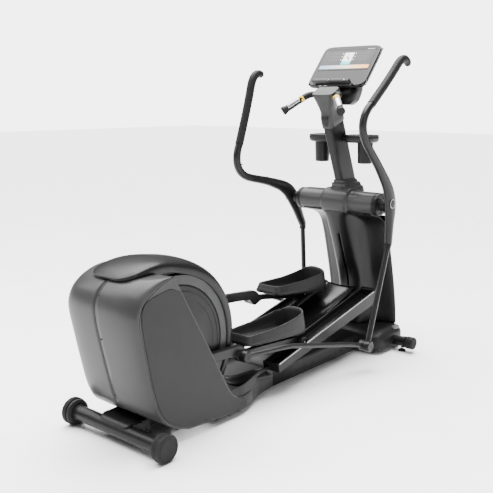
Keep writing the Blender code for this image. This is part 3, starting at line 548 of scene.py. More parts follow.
def build_rear_stabiliser():
    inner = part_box("rear_foot_right")[0][0]
    lathe("rear_tube", [(-inner, 0), (-inner, TUBE_RADIUS), (inner, TUBE_RADIUS), (inner, 0)], REAR_AXIS, 1,
          FRAME_PAINT, replaced=("rear_stabiliser",))
    for side, name in SIDES:
        profile = [(inner + out, radius) for out, radius in FOOT_BODY]
        profile += [(REAR_HALF - back, radius) for back, radius in FOOT_FACE]
        lathe("rear_foot_cap_" + name, profile, REAR_AXIS, side, FOOT_RUBBER, replaced=("rear_foot_" + name,))
        lathe("rear_foot_collar_" + name, [(inner - 0.014, TUBE_RADIUS + 0.0001),
                                           (inner - 0.013, TUBE_RADIUS + 0.0022),
                                           (inner - 0.001, TUBE_RADIUS + 0.0022),
                                           (inner, TUBE_RADIUS + 0.0001)], REAR_AXIS, side, FRAME_PAINT)
        screw("rear_foot_screw_" + name, (side * (inner - 0.03), REAR_Y - 0.01,
                                          REAR_AXIS[1] + TUBE_RADIUS * 0.955), (0, -0.28, 0.96))
    bracket = []
    for y, half, top, bottom in BRACKET:
        height = (top - bottom) / 2
        bracket.append([(u, fore(y), bottom + height + v) for u, v in superellipse(half, height, 9, 64)])
    skin("rear_bracket", bracket, FRAME_PAINT, soft=30)
    for side, name in SIDES:
        ear = [(fore(y), z) for y, z in through(BRACKET_EAR, 4, True)]
        prism("bracket_ear_" + name, ear, side * 0.098, side * 0.11, CASING, edge=0.003)
        screw("bracket_screw_" + name, (side * 0.1102, fore(0.032), 0.076), (side, 0, 0), radius=0.006)
    softened("main_beam", FRAME_PAINT, 0.004)


# ---------------------------------------------------------------- drive housing
# rear outline of the shell: y and z on the centre line, then y and z where it meets the side
SHELL_PROFILE = [
    (0.062, 0.128, 0.153, 0.073), (0.025, 0.16, 0.076, 0.127), (-0.005, 0.209, 0.032, 0.215),
    (-0.035, 0.32, 0.003, 0.32), (-0.078, 0.5, -0.034, 0.495), (-0.096, 0.595, -0.053, 0.585),
    (-0.097, 0.65, -0.05, 0.632), (-0.078, 0.702, -0.028, 0.675), (-0.048, 0.736, 0.018, 0.713),
    (-0.018, 0.754, 0.078, 0.744), (0.016, 0.762, 0.139, 0.766), (0.126, 0.766, 0.15, 0.768),
]
PANEL_FRONT = [
    (0.227, 0.051), (0.426, 0.038), (0.61, 0.03), (0.61, 0.09), (0.56, 0.1), (0.519, 0.126),
    (0.486, 0.172), (0.381, 0.358), (0.15, 0.762),
]
SHELL_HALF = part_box("side_panel_right")[1][0]
SHELL_POWER = 2.5
SHELL_SEAM = 0.0008
SHELL_COLUMNS = 36
# the side panel's rear edge is drawn this share of the way to its middle
SIDE_MIDDLE, SIDE_INSET = (0.22, 0.4), 0.006
INSET_FACE = SHELL_HALF + 0.0034
CASING_FACE = 0.12
DISC_FACE = 0.1222
TOWER_WALL = 0.003
# outline of the darker inset panel
INSET = [
    (0.152, 0.706), (0.136, 0.714), (0.112, 0.716), (0.071, 0.709), (0.033, 0.701), (-0.004, 0.689),
    (-0.024, 0.676), (-0.038, 0.655), (-0.043, 0.625), (-0.041, 0.58), (-0.026, 0.495), (-0.008, 0.406),
    (0.012, 0.31), (0.036, 0.228), (0.056, 0.178), (0.082, 0.14), (0.118, 0.108), (0.16, 0.084),
    (0.22, 0.064), (0.3, 0.053), (0.426, 0.045), (0.604, 0.036), (0.604, 0.086), (0.568, 0.093),
    (0.535, 0.106), (0.508, 0.128), (0.484, 0.16), (0.456, 0.205), (0.377, 0.35), (0.27, 0.537),
    (0.19, 0.679), (0.174, 0.696),
]
# name, inner and outer radius, height over the casing, finish and edge of each ring round the disc
CASING_BANDS = [
    ("casing_ring_", 0.3015, 0.344, 0.0022, RIM, 0.0008),
    # the groove ring is a raised near-black band: painted shade in the groove
    ("casing_groove_", 0.294, 0.301, 0.0005, GAP_SHADE, 0.0002),
    ("casing_lip_", 0.279, 0.2935, 0.0016, CASING, 0.0006),
]
# distance out from the disc's face, radius
DISC_PROFILE = [
    (0.0, 0.013), (0.0, 0.2685), (0.0012, 0.27), (0.0036, 0.27), (0.0042, 0.269), (0.0042, 0.244),
    (0.0024, 0.241), (0.0024, 0.15), (0.0034, 0.148), (0.0034, 0.072), (0.015, 0.06), (0.016, 0.0585),
    (0.016, 0.034), (0.014, 0.032), (0.014, 0.013),
]


def build_housing():
    for side, name in SIDES:
        rows = []
        for y0, z0, y1, z1 in through(SHELL_PROFILE, 6):
            row = []
            for k in range(SHELL_COLUMNS + 1):
                turn = (pi / 2) * k / SHELL_COLUMNS
                x = SHELL_HALF * sin(turn) ** (2 / SHELL_POWER) if k else SHELL_SEAM
                crown = cos(turn) ** (2 / SHELL_POWER) if 0 < k < SHELL_COLUMNS else float(k == 0)
                sunk = 0.0012 if k == 0 else 0.0
                row.append((side * x, fore(y1 + (y0 - y1) * crown) + sunk, z1 + (z0 - z1) * crown))
            rows.append(row if side > 0 else row[::-1])
        sheet("rear_shell_skin_" + name, rows, SHELL, replaced=("rear_shell_" + name,), soft=50)
        rear = [(y, z) for _, _, y, z in through(SHELL_PROFILE[:-1], 5)]
        outline = [
            (fore(y + (SIDE_MIDDLE[0] - y) * SIDE_INSET), z + (SIDE_MIDDLE[1] - z) * SIDE_INSET)
            for y, z in rear[::-1]
        ]
        outline += [(fore(y), z) for y, z in PANEL_FRONT]
        side_x = (SHELL_HALF - 0.004) * side, SHELL_HALF * side
        prism("shell_side_" + name, outline, *side_x, SHELL, replaced=("side_panel_" + name,), edge=0.0012)
        inset = [(fore(y), z) for y, z in through(INSET, 3, True)]
        prism("side_panel_inset_" + name, inset, side * SHELL_HALF, side * INSET_FACE, PANEL, edge=0.0026,
              segments=4)
        for k, (y, z) in enumerate(((0.58, 0.062), (0.33, 0.06))):
            screw("panel_screw_%s_%d" % (name, k + 1), (side * INSET_FACE, fore(y), z), (side, 0, 0))
        casing = (
            [(0.105, 0.112), (0.49, 0.112)] + [(y - REAR_Y, z) for y, z in arc(CRANK, 0.345, -46, 100, 60)]
            + [(0.06, 0.712), (-0.02, 0.64), (-0.045, 0.56), (-0.035, 0.48), (0.015, 0.3), (0.062, 0.18)]
        )
        prism("casing_plate_" + name, [(fore(y), z) for y, z in casing], side * 0.116, side * CASING_FACE,
              CASING, replaced=("casing_" + name,), edge=0.001)
        for part, inner, outer, height, material, edge in CASING_BANDS:
            band(part + name, CRANK, inner, outer, -44, 112, side * CASING_FACE,
                 side * (CASING_FACE + height), material, steps=70, edge=edge)
        disc = [(DISC_FACE + out, radius) for out, radius in DISC_PROFILE]
        lathe("crank_disc_face_" + name, disc, CRANK, side, DISC, "crank", ("crank_disc_" + name,), 96)
        for k in range(3):
            y, z = arc(CRANK, 0.046, 20 + 120 * k, 21, 2)[0]
            screw("crank_bolt_%s_%d" % (name, k + 1), (side * (DISC_FACE + 0.016), y, z), (side, 0, 0),
                  "crank", 0.006)
    for k, z in enumerate((0.69, 0.5, 0.23)):
        y = next(b[0] + (a[0] - b[0]) * (z - b[1]) / (a[1] - b[1])
                 for a, b in zip(SHELL_PROFILE[1:], SHELL_PROFILE) if b[1] <= z <= a[1])
        screw("seam_screw_%d" % (k + 1), (0.012, fore(y) - 0.0006, z), (0.05, -1.0, 0.15))
    build_lid()
    dressed("crank_axle", CRANK_STEEL)
    dressed("drive_pulley", NYLON)
    dressed("flywheel", FLYWHEEL_IRON)
    dressed("drive_belt", BELT)


# degrees round the crank axis, radius on the centre line, radius at the edge, half width
LID_STATIONS = [
    (127.6, 0.465, 0.464, 0.04), (126.8, 0.467, 0.461, 0.082), (124.7, 0.468, 0.454, 0.11),
    (121.0, 0.4655, 0.443, 0.126), (116.0, 0.458, 0.429, 0.131), (110.0, 0.449, 0.4145, 0.132),
    (103.0, 0.438, 0.401, 0.131), (96.0, 0.428, 0.385, 0.128), (88.0, 0.419, 0.368, 0.124),
    (76.0, 0.413, 0.358, 0.124), (62.0, 0.412, 0.356, 0.124), (48.0, 0.414, 0.356, 0.124),
    (34.0, 0.416, 0.356, 0.124), (20.0, 0.416, 0.356, 0.124), (6.0, 0.414, 0.356, 0.124),
    (-8.0, 0.408, 0.356, 0.124), (-22.0, 0.402, 0.356, 0.124), (-36.0, 0.398, 0.356, 0.124),
]


LID_LAP = 0.0125
LID_TAIL_LAP, LID_TAIL_FROM, LID_TAIL_OVER = 0.026, 90, 14
LID_ROUNDNESS = 0.6


def build_lid():
    """Crowned cover from the top of the shell over the round casing, with a satin edge strip."""
    rows, count = [], 40
    for angle, crown, edge, half in through(LID_STATIONS, 5):
        row = []
        drop = LID_LAP
        if angle >= LID_TAIL_FROM:
            drop += LID_TAIL_LAP * min(1.0, (angle - LID_TAIL_FROM) / LID_TAIL_OVER)
        line = [(half, edge - drop)]
        for k in range(count + 1):
            phase = pi * k / count
            line.append((half * cos(phase), edge + (crown - edge) * sin(phase) ** LID_ROUNDNESS))
        line.append((-half, edge - drop))
        for x, radius in line:
            row.append((x, CRANK[0] + radius * cos(radians(angle)), CRANK[1] + radius * sin(radians(angle))))
        rows.append(row)
    heading = radians(LID_STATIONS[0][0])
    down, back = LID_TAIL_LAP * sin(heading), LID_TAIL_LAP * cos(heading)
    rows.insert(0, [(x, y - back, z - down) for x, y, z in rows[0]])
    sheet("lid_skin", rows, LID, replaced=("top_lid",), soft=60)
    for side, name in SIDES:
        band("lid_edge_strip_" + name, CRANK, 0.357, 0.378, -35, 88, side * 0.1236, side * 0.1252, RIM,
             steps=80, edge=0.0006)


def channel(y, half, top, bottom, corner, count=8):
    """Half section of a cover: up the side, round the corner and across the top."""
    bend = [(half - corner + corner * cos(pi / 2 * k / count), top - corner + corner
             * sin(pi / 2 * k / count)) for k in range(count + 1)]
    line = [(half, bottom)] + bend + [(half * 0.4, top), (0.0, top)]
    return [(-x, fore(y), z) for x, z in line] + [(x, fore(y), z) for x, z in line[-2::-1]]


ARCH_HALF, ARCH_FOOT = 0.13, 0.034
# out from there, ahead and down, for each point across the arch
ARCH_SECTION = [(0.0, 0.0, 0.0), (0.03, 0.0, 0.004), (0.055, 0.004, 0.018), (0.06, 0.006, 0.04)]


# distance forward, half width and top of the skirt
SKIRT_STATIONS = [(0.4, 0.2245, 0.1), (0.612, 0.2245, 0.1), (0.69, 0.205, 0.104), (0.79, 0.17, 0.115),
                  (0.918, 0.15, 0.126)]
# distance forward, half width and top of the lip over the arch
ARCH_LIP = [(0.47, 0.219, 0.176), (0.5, 0.2185, 0.15), (0.55, 0.218, 0.146), (0.612, 0.217, 0.148),
            (0.69, 0.202, 0.156), (0.77, 0.178, 0.16), (0.85, 0.16, 0.152), (0.916, 0.15, 0.132)]
ARCH_LINE = [(0.44, 0.3), (0.462, 0.262), (0.5, 0.222), (0.555, 0.186), (0.62, 0.166), (0.7, 0.158),
             (0.78, 0.152), (0.85, 0.14)]


def build_base():
    rows = [channel(y, w, top, 0.03, 0.012) for y, w, top in through(SKIRT_STATIONS, 6)]
    sheet("skirt_skin", rows, BASE, replaced=("base_skirt",), soft=50)
    rows = [channel(y, 0.15, 0.126, 0.03, 0.02) for y in (0.9205, 1.1, 1.3, 1.5, 1.735)]
    sheet("cover_skin", rows, BASE, replaced=("base_cover",), soft=50)
    for side, name in SIDES:
        wall = []
        for y, x, top in through(ARCH_LIP, 6):
            section = [(x + 0.0025, ARCH_FOOT), (x + 0.003, top - 0.004), (x + 0.0015, top),
                       (x - 0.003, top + 0.0005), (x - 0.006, top - 0.002), (x - 0.01, top - 0.012),
                       (x - 0.022, max(0.106, top - 0.04)), (x - 0.024, 0.09), (x - 0.01, ARCH_FOOT)]
            wall.append([(side * u, fore(y), v) for u, v in section])
        skin("arch_wall_" + name, wall, BASE, soft=40)
        inner = []
        for y, z in through(ARCH_LINE, 6):
            inner.append([(side * (ARCH_HALF + out), fore(y + ahead), z - drop) for out, ahead,
                          drop in ARCH_SECTION])
        sheet("arch_liner_" + name, inner, CASING, 0.003, 0, soft=60)
        screw("skirt_screw_" + name, (side * 0.1503, fore(0.944), 0.1), (side, 0, 0))
        screw("cover_screw_" + name, (side * 0.1503, fore(1.56), 0.06), (side, 0, 0))
    # a near-black strip along the joint between skirt and cover: painted shade in the seam
    joint = channel(0.9192, 0.1502, 0.1262, 0.031, 0.02)
    rows = [joint, [(x, y + 0.0016, z) for x, y, z in joint]]
    sheet("base_joint_line", rows, GAP_SHADE, 0.002)


RAIL_SLOPE = radians(13.0)
RAIL_START = (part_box("rail_right")[0][1], 0.1763)
RAIL_INNER, RAIL_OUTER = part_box("rail_right")[0][0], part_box("rail_right")[1][0]
RAIL_LENGTH = 0.935


def up_rail(distance, height=0.0):
    """World (y, z) this far up the rail, this high over its top edge."""
    return (
        RAIL_START[0] + distance * cos(RAIL_SLOPE) - height * sin(RAIL_SLOPE),
        RAIL_START[1] + distance * sin(RAIL_SLOPE) + height * cos(RAIL_SLOPE),
    )


RAIL_LIP, TRACK = 0.01, -0.03


def rail_bar(name, side, runs, material, edge=0.0, segments=2, **how):
    """A bar along the rail: each run is a distance up it and a section of (across, height) there."""
    rings = [[(side * x, *up_rail(distance, height)) for x, height in section] for distance, section in runs]
    piece = skin(name, rings, material, **how)
    return rounded(piece, edge, segments) if edge else piece


def rail_section(depth):
    """Channel section of the rail, open on top."""
    return [
        (RAIL_INNER, -depth), (RAIL_OUTER, -depth), (RAIL_OUTER, -0.002), (RAIL_OUTER - 0.002, 0.0),
        (RAIL_OUTER - RAIL_LIP, 0.0), (RAIL_OUTER - RAIL_LIP, TRACK), (RAIL_INNER + RAIL_LIP, TRACK),
        (RAIL_INNER + RAIL_LIP, 0.0), (RAIL_INNER, 0.0),
    ]


def build_rails():
    trim = [
        (RAIL_OUTER + 0.0001, -0.0042), (RAIL_OUTER + 0.0009, -0.0038), (RAIL_OUTER + 0.0009, -0.0006),
        (RAIL_OUTER - 0.0002, 0.0007), (RAIL_OUTER - 0.0026, 0.0008), (RAIL_OUTER - 0.0026, 0.0001),
    ]
    strip = [
        (RAIL_INNER + RAIL_LIP + 0.004, TRACK + 0.0001), (RAIL_OUTER - RAIL_LIP - 0.004, TRACK + 0.0001),
        (RAIL_OUTER - RAIL_LIP - 0.006, TRACK + 0.0004), (RAIL_INNER + RAIL_LIP + 0.006, TRACK + 0.0004),
    ]
    low_cap = [
        (RAIL_INNER - 0.002, -0.045), (RAIL_OUTER + 0.002, -0.045), (RAIL_OUTER + 0.002, 0.002),
        (RAIL_INNER - 0.002, 0.002),
    ]
    top_cap = [(RAIL_INNER, -0.05), (RAIL_OUTER, -0.05), (RAIL_OUTER, 0.004), (RAIL_INNER, 0.004)]
    clip = [
        (RAIL_INNER - 0.006, -0.018), (RAIL_INNER + 0.006, -0.018), (RAIL_INNER + 0.008, 0.004),
        (RAIL_INNER - 0.006, 0.006),
    ]
    for side, name in SIDES:
        runs = ((0.0, rail_section(0.045)), (RAIL_LENGTH, rail_section(0.078)))
        rail_bar("rail_body_" + name, side, runs, PANEL, 0.0012, replaced=("rail_" + name,), soft=30)
        for part, section, start, stop, material, edge, segments, soft in (
            ("rail_trim_", trim, 0.004, RAIL_LENGTH - 0.004, TRIM, 0.0003, 2, 30),
            ("track_strip_", strip, 0.002, RAIL_LENGTH - 0.002, TROUGH, 0.0, 2, 35),
            ("rail_end_cap_", low_cap, -0.006, -0.0003, CASING, 0.002, 2, 35),
            ("rail_top_cap_", top_cap, RAIL_LENGTH + 0.0003, RAIL_LENGTH + 0.028, CASING, 0.003, 3, 35),
            ("rail_clip_", clip, 0.585, 0.635, ROD_PAINT, 0.002, 2, 35),
        ):
            rail_bar(part + name, side, ((start, section), (stop, section)), material, edge, segments,
                     soft=soft)
    half = RAIL_INNER - 0.025
    rows = []
    stations = [(0.25, -0.03, 0.02), (0.45, -0.022, 0.03), (0.65, -0.016, 0.036), (0.8, -0.006, 0.026),
                (0.93, 0.01, 0.01)]
    for distance, edge, dip in through(stations, 8):
        row = [(half, *up_rail(distance, edge - 0.014))]
        for k in range(33):
            x = half * (1 - k / 16)
            row.append((x, *up_rail(distance, edge - dip * (1 - (x / half) ** 2))))
        row.append((-half, *up_rail(distance, edge - 0.014)))
        rows.append(row)
    sheet("trough_skin", rows, TROUGH, replaced=("ramp_cover",), soft=60)


# ---------------------------------------------------------------- front stabiliser, wheels and feet
FRONT_RADIUS = (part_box("front_stabiliser")[1][2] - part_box("front_stabiliser")[0][2]) / 2


# distance out from the wheel's inner face, radius
FRONT_COLLAR = [(-0.024, FRONT_RADIUS + 0.0001), (-0.023, 0.0335), (-0.006, 0.0335),
                (-0.005, FRONT_RADIUS + 0.0001)]
WHEEL_PROFILE = [
    (0, 0), (0, 0.029), (0.002, 0.033), (0.004, 0.0362), (0.006, 0.037), (0.021, 0.037), (0.0222, 0.0362),
    (0.023, 0.0344), (0.025, 0.0344), (0.0258, 0.0362), (0.027, 0.037), (0.043, 0.037), (0.046, 0.036),
    (0.049, 0.0325), (0.05, 0.029), (0.0485, 0.0275), (0.0475, 0.022), (0.0475, 0.015), (0.049, 0.014),
    (0.049, 0.006), (0.047, 0.005), (0.047, 0),
]


def build_front_stabiliser():
    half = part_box("front_stabiliser")[1][0]
    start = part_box("transport_wheel_right")[0][0]
    tube = [(-half, 0), (-half, FRONT_RADIUS - 0.002), (-half + 0.002, FRONT_RADIUS),
            (half - 0.002, FRONT_RADIUS), (half, FRONT_RADIUS - 0.002), (half, 0)]
    lathe("front_tube", tube, FRONT, 1, FRAME_PAINT, replaced=("front_stabiliser",))
    for side, name in SIDES:
        lathe("front_collar_" + name, [(start + out, radius) for out, radius in FRONT_COLLAR], FRONT, side,
              FRAME_PAINT)
        wheel = [(start + out, radius) for out, radius in WHEEL_PROFILE]
        lathe("wheel_tyre_" + name, wheel, FRONT, side, WHEEL_RUBBER, "wheel_" + name,
              ("transport_wheel_" + name,))
        low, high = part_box("levelling_foot_" + name)
        centre = ((low[0] + high[0]) / 2, (low[1] + high[1]) / 2)
        foot = [(0.0, 0), (0.0, 0.022), (0.001, 0.023), (0.0045, 0.023), (0.0055, 0.0222), (0.0105, 0.0185),
                (0.012, 0.017), (0.012, 0.009), (0.0155, 0.0088), (0.016, 0.0062), (high[2], 0.0062),
                (high[2], 0)]
        upright("levelling_pad_" + name, foot, centre, FOOT_RUBBER, "level_" + name,
                ("levelling_foot_" + name,))
        nut = [(0.018, 0), (0.018, 0.0098), (0.0188, 0.0104), (0.024, 0.0104), (0.0248, 0.0098), (0.0248, 0)]
        upright("levelling_nut_" + name, nut, centre, STEEL, "level_" + name, steps=6, soft=20)
    softened("front_upright", FRAME_PAINT, 0.003)


# ---------------------------------------------------------------- tower and base cover
FIN_Y = [(0.138, 1.862), (0.25, 1.88), (0.35, 1.862), (0.45, 1.838), (0.55, 1.802), (0.65, 1.762),
         (0.73, 1.729), (0.79, 1.703), (0.826, 1.687), (0.862, 1.672)]
WING_Y = [(0.138, 2.031), (0.25, 2.02), (0.383, 1.995), (0.51, 1.964), (0.64, 1.929), (0.72, 1.903),
          (0.77, 1.88), (0.8, 1.855), (0.822, 1.82), (0.838, 1.775), (0.848, 1.728), (0.862, 1.692)]
# share of the way from the wing plane to the fin's ridge at each distance from the middle
FLARE = [(0.232, 0.0), (0.214, 0.05), (0.195, 0.1), (0.165, 0.17), (0.138, 0.24), (0.116, 0.32),
         (0.101, 0.43), (0.09, 0.6), (0.082, 0.77), (0.073, 0.89), (0.06, 0.955), (0.042, 0.985),
         (0.022, 0.998), (0.0, 1.0)]


def between(table, key):
    for (low, first), (high, second) in zip(table, table[1:]):
        if low <= key <= high:
            return first + (second - first) * (key - low) / (high - low)
    return table[0][1] if key < table[0][0] else table[-1][1]


def tower_point(x, level):
    """Point of the rear face of the tower at this distance from the middle and height."""
    wing, fin = between(WING_FINE, level), between(FIN_FINE, level)
    return (x, fore(wing + (fin - wing) * between(FLARE_FINE, abs(x))), level)


FIN_FINE = through(FIN_Y, 6)
WING_FINE = through(WING_Y, 6)
FLARE_FINE = sorted(through(FLARE, 5))


TOWER_FOOT, TOWER_HEIGHT, TOWER_HALF = 0.138, 0.724, 0.232
SLOT_LOW, SLOT_HIGH, SLOT_HALF, SLOT_DEPTH = 0.371, 0.712, 0.0075, 0.016
# height, half width, rear, front and squareness of each course of the front base
BASE_COURSES = [
    (0.03, 0.283, 1.747, 2.073, 6), (0.032, 0.285, 1.745, 2.075, 6), (0.06, 0.285, 1.745, 2.075, 6),
    (0.094, 0.2845, 1.745, 2.075, 6), (0.108, 0.28, 1.749, 2.0745, 5.6), (0.118, 0.272, 1.757, 2.0735, 5.2),
    (0.126, 0.262, 1.77, 2.0715, 4.8), (0.132, 0.252, 1.785, 2.069, 4.5), (0.1365, 0.242, 1.802, 2.066, 4.5),
]


def build_tower():
    levels = [TOWER_FOOT + TOWER_HEIGHT * (k / 100) for k in range(101)]
    columns = [TOWER_HALF * k / 64 for k in range(65)] + [0.0068, 0.0082]
    columns = sorted(set(columns))
    columns = [-x for x in columns[:0:-1]] + columns
    rows = []
    for level in levels:
        row = []
        for x in columns[::-1]:
            px, y, z = tower_point(x, level)
            slot = SLOT_LOW < level < SLOT_HIGH and abs(x) < SLOT_HALF
            row.append((px, y + (SLOT_DEPTH if slot else 0.0), z))
        rows.append(row)
    sheet("tower_skin", rows, TOWER, TOWER_WALL, replaced=("tower_cover_rear",), soft=50)
    # a near-black sheet just over the slot's floor: painted shade in the recess
    inside = [[(x, tower_point(x, level)[1] + SLOT_DEPTH - 0.0015, level) for x in (0.007, -0.007)]
              for level in [0.373 + 0.337 * k / 20 for k in range(21)]]
    skin("tower_slot_floor", inside, GAP_SHADE, ring_closed=False)
    for side, name in SIDES:
        edge = []
        for level in levels[2:-14]:
            ring = []
            for x, out in ((0.232, -0.0005), (0.2335, 0.004), (0.228, 0.0062), (0.208, 0.0044),
                           (0.2025, 0.0022), (0.202, -0.001), (0.222, -0.003)):
                y = tower_point(min(x, TOWER_HALF), level)[1]
                ring.append((side * x, y - out, level))
            edge.append(ring)
        skin("tower_edge_" + name, edge, WING, soft=30)
        for k, (x, level) in enumerate(((0.192, 0.792), (0.186, 0.69), (0.214, 0.59), (0.216, 0.4))):
            px, y, z = tower_point(x, level)
            screw("tower_screw_%s_%d" % (name, k + 1), (side * px, y - (0.0022 if k > 1 else -0.0004), z),
                  (side * 0.4, -0.9, 0), radius=0.0036)
    front = []
    for level in levels[:-5]:
        wing = between(WING_FINE, min(level, 0.76)) - 0.26 * max(0.0, level - 0.76)
        right = [(x, fore(wing + out), level) for x,
                 out in through([(0.232, 0.0015), (0.23, 0.008), (0.224, 0.014), (0.19, 0.022), (0.12, 0.026),
                                 (0.0, 0.028)], 5)]
        front.append([(-x, y, z) for x, y, z in right[:-1]] + right[::-1])
    sheet("tower_front_skin", front, PANEL, TOWER_WALL, replaced=("tower_cover_front",), soft=50)
    base = []
    for level, half_x, rear, ahead, power in BASE_COURSES:
        centre = (rear + ahead) / 2
        base.append([(u, fore(centre + v), level) for u,
                     v in superellipse(half_x, (ahead - rear) / 2, power, 120)])
    base.append([(x * 0.985, fore(1.934) + (y - fore(1.934)) * 0.985, 0.1368) for x, y, z in base[-1]])
    skin("front_base_skin", base, BASE, replaced=("front_base_cover",), soft=40)
    for side, name in SIDES:
        plate = []
        for level, grow in ((0.115, 0.0), (0.129, 0.0), (0.1312, -0.0015), (0.1318, -0.004)):
            plate.append([(side * (0.259 + u), fore(1.992 + v), level + (0.004 if u < 0 else 0.0))
                          for u, v in superellipse(0.0125 + grow, 0.033 + grow, 4, 40)])
        skin("foot_plate_" + name, plate, PLATE, soft=30)
        # the hole is a near-black disc: painted shade in the hole
        hole = [(0.129, 0), (0.129, 0.0056), (0.1336, 0.0062), (0.134, 0.005), (0.134, 0)]
        upright("foot_plate_hole_" + name, hole, (side * 0.257, fore(1.972)), GAP_SHADE, steps=24)
        screw("base_bolt_" + name, (side * 0.2852, fore(1.84), 0.072), (side, 0, 0))


# ---------------------------------------------------------------- cross tube, mast
PIVOT_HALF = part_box("pivot_cover")[1][0]


def d_section(x, radius, reach, top, bottom):
    """Round at the back, flat on top and reaching forward, in the plane at x."""
    line = arc(PIVOT, radius, 90, 250, 36)
    line += [(PIVOT[0] + y, PIVOT[1] + z) for y, z in (
        (reach * 0.3, bottom * 0.98), (reach * 0.75, bottom), (reach - 0.012, bottom),
        (reach - 0.003, bottom + 0.004), (reach, bottom + 0.014), (reach, top - 0.016),
        (reach - 0.004, top - 0.005), (reach - 0.014, top), (reach * 0.6, top + 0.002),
        (reach * 0.3, radius - 0.0008),
    )]
    return [(x, y, z) for y, z in line]


# distance out from the middle, radius
CROSS_STATIONS = [(0.0, 0.0822), (0.06, 0.082), (0.076, 0.081), (0.0835, 0.079), (0.087, 0.0745),
                  (0.089, 0.069), (0.093, 0.0656), (0.102, 0.0646), (0.18, 0.064), (0.258, 0.0632),
                  (0.262, 0.06)]
CROSS_END = [(0.256, 0.0), (0.256, 0.063), (0.258, 0.0642), (0.274, 0.0642), (0.277, 0.063),
             (PIVOT_HALF, 0.06), (PIVOT_HALF, 0.05), (PIVOT_HALF - 0.004, 0.048),
             (PIVOT_HALF - 0.004, 0.032), (PIVOT_HALF, 0.03), (PIVOT_HALF, 0.0)]


def build_pivot():
    rings = []
    for x, radius in [(-x, radius) for x, radius in CROSS_STATIONS[:0:-1]] + CROSS_STATIONS:
        rings.append(d_section(x, radius, 0.178, 0.046, -0.06))
    skin("cross_cover", rings, SHELL, replaced=("pivot_cover",), soft=35)
    for side, name in SIDES:
        lathe("cross_end_" + name, CROSS_END, PIVOT, side, CASING)
        # a near-black ring in the groove: painted shade
        band("cross_end_groove_" + name, PIVOT, 0.0622, 0.0648, 0, 360, side * 0.2525, side * 0.2545, GAP_SHADE,
             steps=97, edge=0.0002)
        for k, (x, turn) in enumerate(((0.118, 232), (0.226, 240))):
            y, z = arc(PIVOT, 0.064, turn, 260, 2)[0]
            screw("cross_screw_%s_%d" % (name, k + 1), (side * x, y, z), (0, y - PIVOT[0], z - PIVOT[1]),
                  radius=0.0036)
    dressed("pivot_shaft", STEEL)


MAST_LEAN = radians(22.4)
MAST_FOOT = (1.795, 1.021)
MAST_TOP = 0.372


def on_mast(across, distance, forward):
    """Point at this distance up the mast, across to the right and forward of its centre line."""
    return (
        across, fore(MAST_FOOT[0] - distance * sin(MAST_LEAN) + forward * cos(MAST_LEAN)),
        MAST_FOOT[1] + distance * cos(MAST_LEAN) + forward * sin(MAST_LEAN),
    )


